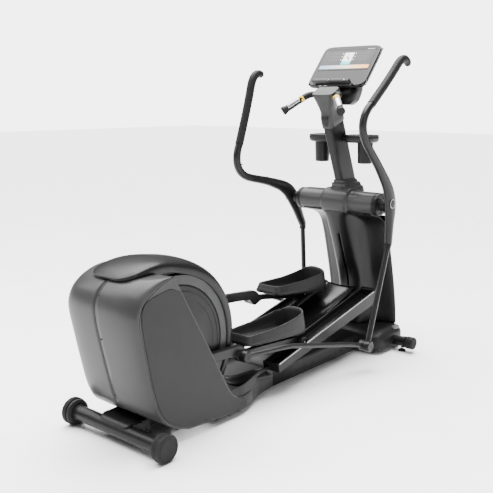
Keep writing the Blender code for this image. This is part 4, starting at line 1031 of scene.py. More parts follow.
def build_mast():
    def ring(distance, half_x, half_v, power=7.0, shift=0.0):
        return [on_mast(u, distance, shift + v) for u, v in superellipse(half_x, half_v, power, 72)]

    rings = [ring(-0.02, 0.0285, 0.07), ring(0.2, 0.0285, 0.07), ring(MAST_TOP - 0.001, 0.0285, 0.07)]
    skin("mast_box", rings, FRAME_PAINT, replaced=("mast_tube",), soft=40)
    collar = []
    for level, half_x, half_y, power in (
        (0.96, 0.068, 0.106, 4.5), (0.99, 0.067, 0.105, 4.5), (0.9945, 0.0645, 0.1025, 4.5),
        (0.996, 0.058, 0.096, 5.0), (1.015, 0.055, 0.093, 5.0), (1.019, 0.0525, 0.0905, 5.0),
        (1.0205, 0.044, 0.083, 5.0), (1.034, 0.041, 0.08, 5.0), (1.0375, 0.038, 0.0775, 5.0),
        (1.0385, 0.03, 0.072, 6.0),
    ):
        centre = fore(MAST_FOOT[0] - (level - MAST_FOOT[1]) * sin(MAST_LEAN) / cos(MAST_LEAN))
        collar.append([(u, centre + v, level) for u, v in superellipse(half_x, half_y, power, 96)])
    skin("mast_collar_steps", collar, SHELL, replaced=("mast_collar",), soft=30)
    # a near-black ring at the joint under the neck: painted shade between the parts
    skin("mast_gap", [ring(MAST_TOP - 0.003, 0.0296, 0.0712), ring(MAST_TOP - 0.0006, 0.0296, 0.0712)], GAP_SHADE)
    for k, (across, distance, forward, normal) in enumerate((
        (0.0287, 0.352, -0.03, (1, 0, 0)), (-0.0287, 0.352, -0.03, (-1, 0, 0)),
        (-0.016, 0.346, -0.0702, (0, -0.92, -0.38)), (0.0287, 0.352, 0.036, (1, 0, 0)),
    )):
        screw("mast_screw_%d" % (k + 1), on_mast(across, distance, forward), normal, radius=0.005)
    neck = [(MAST_TOP, 0.0345, 0.0705, 7.0, 0.0), (MAST_TOP + 0.003, 0.036, 0.072, 7.0, 0.0),
            (MAST_TOP + 0.03, 0.037, 0.0725, 7.0, 0.0), (MAST_TOP + 0.056, 0.0375, 0.0715, 6.0, -0.001)]
    rings = [ring(*row) for row in neck]
    for y, z, lean, half_x, half_v in ((1.626, 1.442, 0.3, 0.04, 0.064), (1.614, 1.462, 0.32, 0.044, 0.059),
                                       (1.602, 1.488, 0.38, 0.054, 0.056), (1.592, 1.51, 0.42, 0.062, 0.055),
                                       (1.578, 1.532, 0.5, 0.069, 0.053), (1.568, 1.545, 0.54, 0.073, 0.05),
                                       (1.564, 1.55, 0.54, 0.07, 0.047)):
        run = hypot(lean, 1.0)
        forward = (1.0 / run, lean / run)
        rings.append([(u, fore(y + forward[0] * v), z + forward[1] * v) for u,
                      v in superellipse(half_x, half_v, 5, 72)])
    skin("neck_cover", rings, SHELL, replaced=("console_neck",), soft=45)
    panel = []
    for distance, half in ((MAST_TOP + 0.012, 0.006), (MAST_TOP + 0.022, 0.017), (MAST_TOP + 0.05, 0.0215),
                           (MAST_TOP + 0.074, 0.024)):
        panel.append([on_mast(half * (1 - 2 * k / 8), distance, -0.0727) for k in range(9)])
    sheet("neck_inset", panel, CASING, 0.0012, 1)
    for k, across in enumerate((-0.018, 0.016)):
        pad = [[(across + u, fore(1.5395 + v * 0.83 - lift * 0.55), 1.5745 + v * 0.42 + lift * 0.83)
                for u, v in superellipse(0.0105 - shrink, 0.007 - shrink, 4, 32)]
               for lift, shrink in ((-0.004, 0.0), (0.0015, 0.0), (0.0022, 0.001))]
        skin("neck_key_%d" % (k + 1), pad, BAR, soft=30)


# ---------------------------------------------------------------- console
CONSOLE_FOOT, CONSOLE_HEAD = (1.648, 1.577), (1.848, 1.81)
CONSOLE_RUN = hypot(CONSOLE_HEAD[0] - CONSOLE_FOOT[0], CONSOLE_HEAD[1] - CONSOLE_FOOT[1])
SLOPE = ((CONSOLE_HEAD[0] - CONSOLE_FOOT[0]) / CONSOLE_RUN, (CONSOLE_HEAD[1] - CONSOLE_FOOT[1]) / CONSOLE_RUN)
CONSOLE_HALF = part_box("console_body")[1][0]
SCREEN_HALF = 0.1675


def on_console(across, up, out):
    return (
        across, fore(CONSOLE_FOOT[0] + SLOPE[0] * up - SLOPE[1] * out), CONSOLE_FOOT[1] + SLOPE[1] * up
        + SLOPE[0] * out,
    )


def tile(name, across, up, out, thick, material, body="frame", replaced=(), power=None, edge=0.0004):
    """A raised rectangle on the console's face: across and up are (from, to) pairs."""
    rings = []
    for lift in (out, out + thick):
        if power:
            centre = ((across[0] + across[1]) / 2, (up[0] + up[1]) / 2)
            half = ((across[1] - across[0]) / 2, (up[1] - up[0]) / 2)
            points = [(centre[0] + u, centre[1] + v) for u, v in superellipse(*half, power, 64)]
        else:
            points = [(across[0], up[0]), (across[1], up[0]), (across[1], up[1]), (across[0], up[1])]
        rings.append([on_console(a, b, lift) for a, b in points])
    piece = skin(name, rings, material, body, replaced)
    return rounded(piece, edge, 2) if edge else piece


def glass(name, paint, strength):
    """Screen glass that glows with its own picture."""
    return finish(name, paint, 0.2, Emission_Strength=strength)


def screen_image(place):
    """A dim grey menu: rows of darker panels with soft seams."""
    x, y, z = place.axes()
    up = (y - fore(CONSOLE_FOOT[0])) * SLOPE[0] + (z - CONSOLE_FOOT[1]) * SLOPE[1]
    line = (up.rows(0.0235) - 0.5).size().above(0.465)
    column = ((x + 0.5).rows(0.093) - 0.5).size().above(0.47)
    soft = place.noise(18.0, 2.0)
    glow = (up * 4.0 + soft * 0.35 - 0.1).ramp([(0.0, (0.02, 0.02, 0.022, 1)),
                                                (1.0, (0.045, 0.045, 0.047, 1))])
    shade = (line + column).tint(glow, (0.03, 0.03, 0.033, 1))
    return {"Base_Color": shade, "Emission_Color": shade, "Roughness": soft * 0.06 + 0.08}


def bar_image(place):
    """Soft blend from pale blue through grey to orange."""
    share = (place.axes()[0] + SCREEN_HALF) / (2 * SCREEN_HALF)
    blend = share.ramp([(0.0, (0.2, 0.3, 0.42, 1)), (0.35, (0.42, 0.42, 0.44, 1)),
                        (0.62, (0.62, 0.5, 0.4, 1)), (0.85, (0.85, 0.42, 0.13, 1)),
                        (1.0, (0.8, 0.36, 0.1, 1))])
    soft = place.noise(30.0, 2.0)
    return {"Base_Color": blend, "Emission_Color": blend, "Roughness": soft * 0.06 + 0.1}


def plain_image(first, second):
    def paint(place):
        soft = place.noise(60.0, 3.0).ramp([(0.3, first), (0.7, second)])
        return {"Base_Color": soft, "Emission_Color": soft, "Roughness": place.noise(30.0, 2.0) * 0.06 + 0.1}
    return paint


SCREEN = glass("screen_glass", screen_image, 0.16)
STATUS = glass("status_band", bar_image, 0.75)
CARD = glass("card_image", plain_image((0.62, 0.63, 0.64, 1), (0.8, 0.8, 0.81, 1)), 0.9)
TEAL = glass("card_strip", plain_image((0.06, 0.46, 0.5, 1), (0.08, 0.55, 0.58, 1)), 0.9)
DIM = glass("menu_rows", plain_image((0.05, 0.05, 0.053, 1), (0.065, 0.065, 0.068, 1)), 0.1)
DARK_IMAGE = glass("dark_band", plain_image((0.01, 0.01, 0.012, 1), (0.014, 0.014, 0.016, 1)), 0.05)


# name, extent across, extent up, height over the face and picture of each area of the screen
SCREEN_TILES = [
    ("status_row", (-0.1655, 0.1655), (0.269, 0.2805), 0.0016, DARK_IMAGE),
    ("gradient_row", (-SCREEN_HALF, SCREEN_HALF), (0.129, 0.155), 0.0016, STATUS),
    ("lower_row", (-SCREEN_HALF, SCREEN_HALF), (0.1175, 0.129), 0.0016, DARK_IMAGE),
    ("card_back", (-0.034, 0.036), (0.156, 0.256), 0.0016, DIM),
    ("card_picture", (-0.03, 0.032), (0.184, 0.25), 0.0019, CARD),
    ("card_strip", (-0.03, 0.032), (0.16, 0.1835), 0.0019, TEAL),
]
CARD_FIGURE = [
    ((-0.004, 0.0), (0.21, 0.225)), ((0.002, 0.006), (0.2, 0.214)), ((0.006, 0.012), (0.193, 0.206)),
    ((-0.01, -0.004), (0.215, 0.219)), ((-0.001, 0.003), (0.227, 0.233)),
]
MENU_TOP, MENU_PITCH, MENU_HEIGHT = 0.236, 0.0235, 0.0165
SLIT_PITCH = 0.0062


def build_console():
    rings = []
    for out, inset, power in ((0.0006, 0.01, 9), (0.0006, 0.006, 9), (-0.0004, 0.003, 9), (-0.003, 0.0008, 9),
                              (-0.007, 0.0, 9), (-0.018, 0.0, 9), (-0.023, 0.002, 9), (-0.027, 0.007, 9),
                              (-0.03, 0.015, 8)):
        ring = superellipse(CONSOLE_HALF - inset, CONSOLE_RUN / 2 - inset, power, 160)
        rings.append([on_console(u, CONSOLE_RUN / 2 + v, out) for u, v in ring])
    skin("console_bezel", rings, BEZEL, replaced=("console_body",), soft=30)
    for side, name in SIDES:
        strip = []
        for up in (0.018, 0.288):
            strip.append([on_console(side * (CONSOLE_HALF + a), up, out) for a, out in (
                (-0.001, -0.017), (0.0008, -0.0165), (0.001, -0.009), (-0.0002, -0.0065), (-0.002, -0.0075))])
        rounded(skin("console_side_strip_" + name, strip, TRIM, soft=30), 0.0003, 2)
    tile("screen_pane", (-SCREEN_HALF, SCREEN_HALF), (0.1175, 0.2825), 0.0004, 0.0012, SCREEN,
         replaced=("screen",), edge=0.0003)
    for part, across, up, out, material in SCREEN_TILES:
        tile(part, across, up, out, 0.0003, material, edge=0)
    for k, (across, up) in enumerate(CARD_FIGURE):
        tile("card_shape_%d" % (k + 1), across, up, 0.0022, 0.0002, DARK_IMAGE, edge=0)
    for side, name in SIDES:
        for k in range(3):
            a, b = (0.052, 0.128) if side > 0 else (-0.128, -0.052)
            up = MENU_TOP - MENU_PITCH * k
            tile("menu_row_%s_%d" % (name, k + 1), (a, b), (up, up + MENU_HEIGHT), 0.0016, 0.0002, DIM,
                 edge=0)
            dot = (a - 0.012, a - 0.006) if side > 0 else (b + 0.006, b + 0.012)
            tile("menu_mark_%s_%d" % (name, k + 1), dot, (up + 0.005, up + 0.011), 0.0016, 0.0003, CARD,
                 edge=0)
    for k in range(3):
        tile("status_mark_%d" % (k + 1), (0.11 + 0.016 * k, 0.121 + 0.016 * k), (0.2735, 0.2765), 0.0019,
             0.0002, CARD, edge=0)
    hump = []
    for half_x, half_y, y, z, rise in through([(0.08, 0.032, 1.716, 1.4705, 0.0),
                                               (0.085, 0.038, 1.714, 1.474, 0.0),
                                               (0.106, 0.045, 1.714, 1.49, 0.0),
                                               (0.116, 0.049, 1.714, 1.506, 0.0),
                                               (0.128, 0.052, 1.718, 1.54, 0.2),
                                               (0.132, 0.051, 1.721, 1.57, 0.6),
                                               (0.134, 0.05, 1.724, 1.6, 1.0)], 4):
        hump.append([(u, fore(y + v), z + v * rise) for u, v in superellipse(half_x, half_y, 5, 72)])
    skin("speaker_cover", hump, CASING, replaced=("speaker_housing",), soft=45)
    for side, name in SIDES:
        # the slits are near-black strips: painted shade in the openings
        for k in range(5):
            tile("speaker_slit_%s_%d" % (name, k + 1), (side * 0.102 - 0.018, side * 0.102 + 0.018),
                 (-0.02 - SLIT_PITCH * k, -0.0172 - SLIT_PITCH * k), -0.008, 0.002, GAP_SHADE, edge=0)
    low, high = -0.145, 0.105
    bar = []
    for out, inset in ((0.0, 0.0), (0.027, 0.0), (0.0315, 0.0015), (0.033, 0.0045)):
        bar.append([on_console((low + high) / 2 + u, 0.018 + v, out) for u, v in superellipse(
            (high - low) / 2 - inset, 0.013 - inset, 9, 72)])
    skin("control_bar_cover", bar, BAR, replaced=("control_bar",), soft=30)
    skirt = []
    for out, half_x, half_v in ((-0.004, 0.128, 0.014), (0.01, 0.126, 0.013), (0.014, 0.124, 0.011)):
        skirt.append([on_console(u, 0.001 + v, out) for u, v in superellipse(half_x, half_v, 6, 60)])
    skin("control_bar_ledge", skirt, CASING, soft=30)
    for side, name in SIDES:
        across = middle("stride_key_" + name)[0]
        key = "stride_key_" + name
        tile("key_cap_" + name, (across - 0.011, across + 0.011), (0.01, 0.026), 0.0312, 0.0026, KEY,
             "key_" + name, (key,), 5, 0.0006)
        # the marks take the glowing card picture, so the printed marks glow: painted light
        for k, shift in enumerate((-0.004, 0.0025)):
            tile("key_mark_%s_%d" % (name, k + 1), (across + shift, across + shift + 0.0022),
                 (0.0145, 0.0215), 0.0337, 0.0003, CARD, "key_" + name, edge=0)
    tile("power_lamp", (0.0925, 0.0955), (-0.006, -0.003), 0.0135, 0.0012, LAMP, power=2.2, edge=0.0003)


# ---------------------------------------------------------------- fixed handlebars and cup holders
HANDLEBAR = [
    (0.06, 1.566, 1.53), (0.0785, 1.562, 1.53), (0.091, 1.557, 1.529), (0.104, 1.54, 1.523),
    (0.114, 1.508, 1.509), (0.138, 1.486, 1.488), (0.168, 1.458, 1.461), (0.192, 1.4355, 1.4395),
]
# share of the way along the straight stretch, radius
HANDLEBAR_CAP = [
    (0.84, 0.0186), (0.87, 0.0205), (0.93, 0.0222), (0.975, 0.0245), (1.01, 0.025), (1.05, 0.024),
    (1.075, 0.0205), (1.078, 0.015),
]


def build_handlebars():
    end, far = Vector(HANDLEBAR[-1]), Vector(HANDLEBAR[4])
    for side, name in SIDES:
        stations = [(side * x, fore(y), z, 0.0175 if x < 0.1 else 0.0185) for x, y, z in HANDLEBAR]
        sweep("handlebar_bar_" + name, stations, GRIP, replaced=("handlebar_" + name,), sides=32, per=8)

        def along(share, radius):
            point = far + (end - far) * share
            return (side * point.x, fore(point.y), point.z, radius)
        sweep("handlebar_ring_" + name, [along(-0.03, 0.0194), along(0.11, 0.0196)], YELLOW, sides=32, per=3)
        plate = []
        centre_line = [along(share, 0.0198) for share in [0.16 + 0.62 * k / 12 for k in range(13)]]
        for (centre, across, up), station in zip(frames_along([c[:3] for c in centre_line]), centre_line):
            plate.append([tuple(centre + (across * cos(t) + up * sin(t)) * station[3])
                          for t in [radians(-8 + 196 * k / 24) for k in range(25)]])
        sheet("sensor_plate_" + name, plate, SENSOR, 0.0012, 0, soft=60)
        cap = [along(share, radius) for share, radius in HANDLEBAR_CAP]
        sweep("handlebar_cap_" + name, cap, GRIP, sides=40, per=3)


CUP_X, CUP_Y, CUP_POINTS = 0.149, 1.76, 96
TRAY_X, TRAY_HALF, TRAY_DEPTH, TRAY_POWER = 0.122, 0.0915, 0.085, 3.4


def build_cup_holders():
    for side, name in SIDES:
        def circle(radius, level):
            angles = [2 * pi * k / CUP_POINTS for k in range(CUP_POINTS)]
            return [(side * (CUP_X + radius * cos(a)), fore(CUP_Y + radius * sin(a)), level) for a in angles]

        def tray(inset, level):
            return [(side * (TRAY_X + u), fore(CUP_Y + v), level)
                    for u, v in superellipse(TRAY_HALF - inset, TRAY_DEPTH - inset, TRAY_POWER, CUP_POINTS)]
        rings = [circle(0.03, 1.1385), circle(0.038, 1.1385), circle(0.0402, 1.1405), circle(0.0412, 1.15),
                 circle(0.044, 1.23), circle(0.045, 1.256), tray(0.022, 1.257), tray(0.012, 1.259),
                 tray(0.005, 1.264), tray(0.002, 1.27), tray(0.0005, 1.28), tray(0.0, 1.288),
                 tray(0.001, 1.29), tray(0.0024, 1.2908), tray(0.0024, 1.293), tray(0.001, 1.294),
                 tray(0.001, 1.2985), tray(0.004, 1.301), tray(0.0075, 1.3018), tray(0.011, 1.301),
                 tray(0.014, 1.298), tray(0.017, 1.2965), circle(0.0475, 1.2965), circle(0.0455, 1.3005),
                 circle(0.043, 1.302), circle(0.04, 1.301), circle(0.0385, 1.296), circle(0.0365, 1.26),
                 circle(0.0345, 1.2), circle(0.033, 1.16), circle(0.03, 1.156)]
        skin("cup_tray_" + name, rings, CUP, replaced=("cup_holder_" + name,), soft=40)
        lip = [circle(0.0436, 1.3016), circle(0.044, 1.303), circle(0.0415, 1.3032), circle(0.041, 1.3016)]
        skin("cup_lip_" + name, lip, WING, loop=True)


# ---------------------------------------------------------------- swing arms
ARM_PATH = [
    (0.0292, -0.216, 0.019, 0.0195), (0.03, -0.206, 0.0205, 0.024), (0.02, -0.15, 0.0208, 0.029),
    (0.012, -0.1, 0.021, 0.033), (0.003, -0.04, 0.0212, 0.043), (-0.012, 0.015, 0.0212, 0.047),
    (-0.042, 0.068, 0.021, 0.043), (-0.085, 0.113, 0.0206, 0.035), (-0.134, 0.151, 0.0204, 0.03),
    (-0.19, 0.191, 0.0202, 0.0258), (-0.254, 0.232, 0.02, 0.0235), (-0.318, 0.271, 0.02, 0.0225),
    (-0.368, 0.307, 0.02, 0.022), (-0.4, 0.347, 0.02, 0.022), (-0.412, 0.392, 0.02, 0.022),
    (-0.405, 0.433, 0.02, 0.022), (-0.385, 0.47, 0.02, 0.0215), (-0.357, 0.502, 0.02, 0.021),
]
TUBE_PATH = [(-0.0919, -0.77, 0.015, 0.015), (0.0292, -0.216, 0.015, 0.015)]
SLEEVE_PATH = [(0.0235, -0.242, 0.0172, 0.0172), (0.025, -0.235, 0.0192, 0.0198),
               (0.0296, -0.214, 0.0196, 0.0204), (0.03, -0.21, 0.018, 0.019)]
GRIP_PATH = [
    (-0.359, 0.5, 0.0212, 0.0226), (-0.35, 0.511, 0.0214, 0.0234), (-0.3, 0.572, 0.0214, 0.0236),
    (-0.244, 0.641, 0.0214, 0.0236), (-0.185, 0.718, 0.0214, 0.0236), (-0.149, 0.768, 0.0214, 0.0236),
    (-0.12, 0.798, 0.0212, 0.0232), (-0.086, 0.812, 0.0208, 0.0222), (-0.056, 0.806, 0.0196, 0.0206),
    (-0.042, 0.795, 0.017, 0.0176), (-0.036, 0.789, 0.011, 0.0115),
]
ARM_X = abs(JOINT["right_arm_swing"]["pos_m"][0])
ARM_REST = {"right": radians(-12.5), "left": radians(20.5)}
SPLAY, SLEEVE_END, EYE_LEVEL = 0.034, -0.206, -0.7907


def spun(point, angle):
    y, z = point
    return (y * cos(angle) - z * sin(angle), y * sin(angle) + z * cos(angle))


def arm_rings(path, side, rest, per=6, sides=40, power=2.3):
    rings = []
    fine = through(path, per)
    last = len(fine) - 1
    for k, (y, z, half_x, half_v) in enumerate(fine):
        a, b = fine[max(k - 1, 0)], fine[min(k + 1, last)]
        run = Vector(spun((b[0] - a[0], b[1] - a[1]), rest)).normalized()
        py, pz = spun((y, z), rest)
        out = ARM_X + SPLAY * max(0.0, (z - SLEEVE_END) / (EYE_LEVEL - SLEEVE_END))
        rings.append([(side * (out + u), PIVOT[0] + py - run.y * v, PIVOT[1] + pz + run.x * v)
                      for u, v in superellipse(half_x, half_v, power, sides)])
    return rings


# distance out along the pivot, radius
ARM_HUB = [(0.285, 0.0), (0.285, 0.0345), (0.287, 0.036), (0.3, 0.036), (0.3015, 0.0345),
           (0.3035, 0.0345), (0.305, 0.0362), (0.322, 0.0366), (0.325, 0.035), (0.33, 0.035), (0.33, 0.0)]
HUB_CAP = [(0.356, 0.0), (0.356, 0.027), (0.3668, 0.0268), (0.3676, 0.0258), (0.3676, 0.0232),
           (0.367, 0.0225), (0.367, 0.018), (0.3678, 0.0168), (0.3682, 0.009), (0.3683, 0.0)]
ARM_EYE = [(0.36, 0.0), (0.36, 0.029), (0.362, 0.0308), (0.368, 0.031), (0.369, 0.0298), (0.3705, 0.0298),
           (0.3715, 0.031), (0.394, 0.031), (0.3985, 0.0295), (0.401, 0.0265), (0.401, 0.012),
           (0.4, 0.0105), (0.4, 0.006), (0.3985, 0.005), (0.3985, 0.0)]
ARM_PIN = [(0.3315, 0.0), (0.3315, 0.0095), (0.3325, 0.01), (0.362, 0.01), (0.362, 0.0)]
# place along the arm in its own plane, half thickness and half width
GRIP_COLLAR = [(-0.36, 0.499, 0.0218, 0.0232), (-0.356, 0.504, 0.0222, 0.024)]


def build_arms():
    for side, name in SIDES:
        rest, body = ARM_REST[name], "arm_" + name
        skin("arm_upper_" + name, arm_rings(ARM_PATH, side, rest), ARM_PAINT, body, ("swing_arm_" + name,),
             soft=50)
        skin("arm_tube_" + name, arm_rings(TUBE_PATH, side, rest, 8, 36, 2.0), ARM_PAINT, body, soft=50)
        skin("arm_sleeve_" + name, arm_rings(SLEEVE_PATH, side, rest, 4, 40, 2.2), CASING, body, soft=30)
        lathe("arm_hub_" + name, ARM_HUB, PIVOT, side, CASING, body)
        seat = spun((-0.022, 0.012), rest)
        badge = (PIVOT[0] + seat[0], PIVOT[1] + seat[1])
        lathe("arm_hub_cap_" + name, HUB_CAP, badge, side, DISC, body)
        band("arm_hub_ring_" + name, badge, 0.0232, 0.0258, 0, 360, side * 0.3672, side * 0.3682, SENSOR,
             body, 65, 0.0003)
        joint = JOINT[name + "_rod_joint"]["pos_m"][1:]
        lathe("arm_eye_" + name, ARM_EYE, joint, side, ARM_PAINT, body)
        lathe("arm_pin_" + name, ARM_PIN, joint, side, STEEL, body)
        skin("grip_sleeve_" + name, arm_rings(GRIP_PATH, side, rest, 8, 48, 2.2), GRIP, body,
             ("grip_" + name,), soft=50)
        seam_path = [(y, z, 0.0012, v + 0.0006) for y, z, _, v in GRIP_PATH[1:-3]]
        skin("grip_seam_" + name, arm_rings(seam_path, side, rest, 8, 12, 4.0), CASING, body, soft=50)
        skin("grip_collar_" + name, arm_rings(GRIP_COLLAR, side, rest, 2, 40, 2.2), CASING, body, soft=30)
        for k, (y, z) in enumerate(((-0.395, 0.395), (-0.215, 0.233))):
            py, pz = spun((y, z), rest)
            screw("arm_screw_%s_%d" % (name, k + 1), (side * (ARM_X - 0.0198), PIVOT[0] + py, PIVOT[1] + pz),
                  (-side, 0, 0), body, 0.0036)


# ---------------------------------------------------------------- connecting rods
# distance out along each eye, radius
ROD_FRONT_EYE = [(0.331, 0.0), (0.331, 0.027), (0.3325, 0.0286), (0.3345, 0.029), (0.3545, 0.029),
                 (0.3565, 0.0286), (0.358, 0.027), (0.358, 0.0)]
ROD_REAR_EYE = [(0.178, 0.0), (0.178, 0.0262), (0.1795, 0.0278), (0.209, 0.028), (0.213, 0.0265),
                (0.215, 0.024), (0.215, 0.011), (0.214, 0.01), (0.214, 0.0)]


def build_rods():
    for side, name in SIDES:
        joint = JOINT[name + "_rod_joint"]["pos_m"][1:]
        lug = lug_place(name)
        run = (joint[0] - lug[0], joint[1] - lug[1])
        length = hypot(*run)
        heading = (run[0] / length, run[1] / length)
        stations = []
        for share, lift, x in ((0.012, 0.0, 0.19), (0.05, 0.006, 0.203), (0.1, 0.012, 0.214),
                               (0.17, 0.021, 0.231), (0.24, 0.03, 0.247), (0.3, 0.036, 0.26),
                               (0.36, 0.036, 0.268), (0.58, 0.026, 0.298), (0.8, 0.016, 0.328),
                               (0.93, 0.006, 0.344), (0.985, 0.0, 0.345)):
            stations.append((side * x, lug[0] + run[0] * share - heading[1] * lift,
                             lug[1] + run[1] * share + heading[0] * lift, 0.013))
        body = "rod_" + name
        sweep("rod_bar_" + name, stations, ROD_PAINT, body, ("connecting_rod_" + name,), sides=32, per=6)
        lathe("rod_front_eye_" + name, ROD_FRONT_EYE, joint, side, ROD_PAINT, body)
        lathe("rod_rear_eye_" + name, ROD_REAR_EYE, lug, side, CASING, body)


# ---------------------------------------------------------------- foot links and pedals
PEDAL_X = 0.103
PEDAL_HALF = 0.096
PEDAL_REAR, PEDAL_FRONT = 0.682, 1.171
PEDAL_RIBS = 13
LINK_TILT = {"right": 0.0, "left": radians(-2.0)}


def link_axle(name):
    return JOINT[name + "_link_pitch"]["pos_m"][1:]


RIGHT_AXLE = link_axle("right")


def placed(name):
    """Moves a point drawn for the right foot link onto this side's link."""
    axle, tilt = link_axle(name), LINK_TILT[name]

    def move(y, z):
        py, pz = spun((fore(y) - RIGHT_AXLE[0], z - RIGHT_AXLE[1]), tilt)
        return (axle[0] + py, axle[1] + pz)
    return move


def lug_place(name):
    return placed(name)(0.646, 0.273)


# distance out along the axle, radius
ROLLER_PROFILE = [(0.1785, 0.0084), (0.1785, 0.0255), (0.1795, 0.0272), (0.181, 0.028), (0.186, 0.028),
                  (0.187, 0.0276), (0.2, 0.0276), (0.201, 0.028), (0.206, 0.028), (0.2075, 0.0272),
                  (0.2085, 0.0255), (0.2075, 0.02), (0.2075, 0.013), (0.2085, 0.012), (0.2085, 0.0084)]
ROLLER_PIN = [(0.143, 0.0), (0.143, 0.0072), (0.1438, 0.008), (0.21, 0.008), (0.2108, 0.0072), (0.211, 0.005),
              (0.2102, 0.0042), (0.2102, 0.0)]


def build_link(side, name):
    move, body = placed(name), "link_" + name
    axle = (RIGHT_AXLE[0] - REAR_Y, RIGHT_AXLE[1])
    outline = (
        arc((0.06, 0.322), 0.027, 95, 265, 24) + [(0.457, 0.289), (0.56, 0.283), (0.6, 0.278)]
        + arc((0.646, 0.273), 0.03, 205, 300, 16) + [(0.7, 0.263), (0.72, 0.262), (0.9, 0.238)]
        + arc(axle, 0.022, 255, 440, 24) + [(1.06, 0.264), (0.86, 0.281), (0.7, 0.292), (0.68, 0.298),
                                            (0.664, 0.312), (0.65, 0.322), (0.63, 0.328), (0.438, 0.337)]
    )
    prism("foot_link_bar_" + name, [move(y, z) for y, z in outline], side * 0.145, side * 0.175, ARM_PAINT,
          body, ("foot_link_" + name,), edge=0.004, segments=4)
    lug = lug_place(name)
    lathe("link_lug_" + name, [(0.174, 0.0), (0.174, 0.03), (0.176, 0.03), (0.1772, 0.0285), (0.1772, 0.0)],
          lug, side, ARM_PAINT, body)
    here = link_axle(name)
    lathe("roller_tyre_" + name, ROLLER_PROFILE + ROLLER_PROFILE[:1], here, side, NYLON, "roller_" + name,
          ("roller_" + name,))
    lathe("roller_pin_" + name, ROLLER_PIN, here, side, STEEL, "carriage_" + name, ("roller_axle_" + name,))
    build_pedal(side, name, move, body)


def build_pedal(side, name, move, body):
    length = PEDAL_FRONT - PEDAL_REAR
    centre = (PEDAL_FRONT + PEDAL_REAR) / 2

    def ring(inset, level, count=144, power=7.0, lift=0.0):
        points = []
        for u, v in superellipse(PEDAL_HALF - inset, length / 2 - inset, power, count):
            share = (v + length / 2) / length
            y, z = move(centre + v, level(share, u) + lift)
            points.append((side * (PEDAL_X + u), y, z))
        return points

    def bottom(share, across):
        return 0.308 - 0.037 * share

    def rim(share, across):
        inner = min(1.0, max(0.0, 0.5 - across / (2 * PEDAL_HALF)))
        toe = max(0.0, (share - 0.42) / 0.58)
        bulge = sin(pi * min(1.0, 0.1 + inner)) ** 0.7 if inner < 0.9 else 0.35
        return 0.356 + 0.01 * share * inner + (0.01 + 0.036 * bulge) * toe ** 1.6

    def floor(share, across):
        return bottom(share, across) + 0.014

    def mix(share_up):
        return lambda share, across: bottom(share, across) * (1 - share_up) + rim(share, across) * share_up

    rings = [ring(0.01, bottom), ring(0.0045, bottom, lift=0.0008), ring(0.001, bottom, lift=0.005),
             ring(0.0, floor), ring(0.004, mix(0.45)), ring(0.0085, mix(0.75)), ring(0.0112, mix(0.93)),
             ring(0.012, rim, lift=-0.0018), ring(0.0132, rim), ring(0.0165, rim, lift=0.0002),
             ring(0.0185, rim, lift=-0.0014), ring(0.02, mix(0.88)), ring(0.0215, mix(0.6)),
             ring(0.024, floor, lift=0.003), ring(0.028, floor)]
    skin("pedal_tray_" + name, rings, PEDAL, body, ("pedal_" + name,), soft=50)
    mat = [ring(0.0285, floor, lift=0.0), ring(0.0285, floor, lift=0.0022), ring(0.03, floor, lift=0.0034),
           ring(0.033, floor, lift=0.0038)]
    skin("pedal_mat_" + name, mat, MAT, body, soft=40)
    for k in range(PEDAL_RIBS):
        v = -length / 2 + 0.04 + (length - 0.08) * k / (PEDAL_RIBS - 1)
        share = (v + length / 2) / length
        bars = []
        for across in (-0.06, 0.06):
            section = []
            for dv, dz in ((-0.006, 0.003), (-0.0045, 0.0056), (0.0045, 0.0056), (0.006, 0.003)):
                y, z = move(centre + v + dv, floor(share, across) + dz)
                section.append((side * (PEDAL_X + across), y, z))
            bars.append(section)
        rounded(skin("pedal_rib_%s_%d" % (name, k + 1), bars, MAT, body), 0.0012, 2)
    lip = [ring(0.0134, rim, lift=0.0001), ring(0.0136, rim, lift=0.001), ring(0.016, rim, lift=0.0012),
           ring(0.0166, rim, lift=0.0001)]
    skin("pedal_lip_" + name, lip, RIM, body, loop=True, soft=40)
    block = []
    for y, half in ((0.8, 0.026), (0.812, 0.03), (1.03, 0.03), (1.042, 0.026)):
        share = (y - PEDAL_REAR) / length
        section = []
        for across, drop in ((-half, 0.0004), (half, 0.0004), (half * 0.9, -0.018), (-half * 0.9, -0.018)):
            py, pz = move(y, bottom(share, 0.0) + drop)
            section.append((side * (0.11 + across * 0.8), py, pz))
        block.append(section)
    rounded(skin("pedal_bracket_" + name, block, FRAME_PAINT, body, soft=30), 0.002, 2)


# ---------------------------------------------------------------- assembly
build_rear_stabiliser()
build_housing()
build_base()
build_rails()
build_front_stabiliser()
build_tower()
build_pivot()
build_mast()
build_console()
build_handlebars()
build_cup_holders()
build_arms()
build_rods()
for side, name in SIDES:
    build_link(side, name)


# ---------------------------------------------------------------- floor, light and camera
def floor_paint(place):
    speck = place.noise(3.0, 3.0)
    return {"Base_Color": speck.ramp([(0.3, (0.93, 0.93, 0.93, 1)), (0.7, (0.96, 0.96, 0.96, 1))]),
            "Roughness": speck * 0.1 + 0.8}


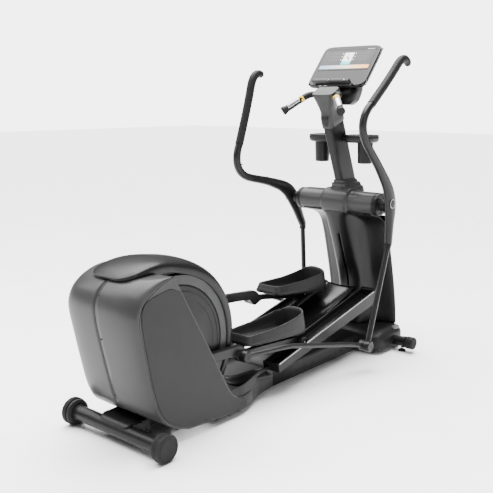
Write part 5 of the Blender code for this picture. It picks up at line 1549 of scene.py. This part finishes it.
floor_mesh = bpy.data.meshes.new("studio_floor")
floor_mesh.from_pydata([(-30, -30, 0), (30, -30, 0), (30, 30, 0), (-30, 30, 0)], [], [(0, 1, 2, 3)])
floor_mesh.materials.append(finish("pale_floor", floor_paint, 0.85))
studio_floor = bpy.data.objects.new("studio_floor", floor_mesh)
bpy.context.scene.collection.objects.link(studio_floor)

world = bpy.data.worlds.new("studio")
bpy.context.scene.world = world
world.use_nodes = True
backdrop = world.node_tree.nodes["Background"]
backdrop.inputs["Color"].default_value = (1.0, 1.0, 1.0, 1)
seen = world.node_tree.nodes.new("ShaderNodeLightPath")
level = world.node_tree.nodes.new("ShaderNodeMapRange")
level.inputs["To Min"].default_value = 0.22
level.inputs["To Max"].default_value = 5.2
world.node_tree.links.new(seen.outputs["Is Camera Ray"], level.inputs["Value"])
world.node_tree.links.new(level.outputs["Result"], backdrop.inputs["Strength"])


def light(name, place, aim, power, size):
    lamp = bpy.data.lights.new(name, "AREA")
    lamp.energy = power
    lamp.shape = "RECTANGLE"
    lamp.size, lamp.size_y = size
    lamp.spread = radians(180)
    holder = bpy.data.objects.new(name, lamp)
    bpy.context.scene.collection.objects.link(holder)
    holder.location = place
    holder.rotation_euler = (Vector(aim) - Vector(place)).to_track_quat("-Z", "Y").to_euler()


light("key_left", (-3.2, -2.6, 3.4), (0, 0, 0.8), 150, (2.4, 2.4))
light("fill_right", (3.8, -0.6, 2.6), (0, 0.1, 0.8), 55, (1.2, 2.6))
light("top_soft", (0.2, 0.2, 4.4), (0, 0, 0.6), 160, (2.6, 2.2))
sky_lamp = bpy.data.lights.new("overhead", "SUN")
sky_lamp.energy = 13.0
sky_lamp.angle = radians(70)
sky_lamp.specular_factor = 0.25
sky = bpy.data.objects.new("overhead", sky_lamp)
bpy.context.scene.collection.objects.link(sky)
sky.rotation_euler = (radians(-8), radians(-14), 0.0)

lens = bpy.data.cameras.new("studio_camera")
lens.lens = 55.68
lens.sensor_width = 36.0
camera = bpy.data.objects.new("studio_camera", lens)
bpy.context.scene.collection.objects.link(camera)
camera.location = (2.5046, -3.0136, 1.5003)
camera.rotation_euler = (radians(79.104), 0.0, radians(40.592))
bpy.context.scene.camera = camera

bpy.context.view_layer.update()
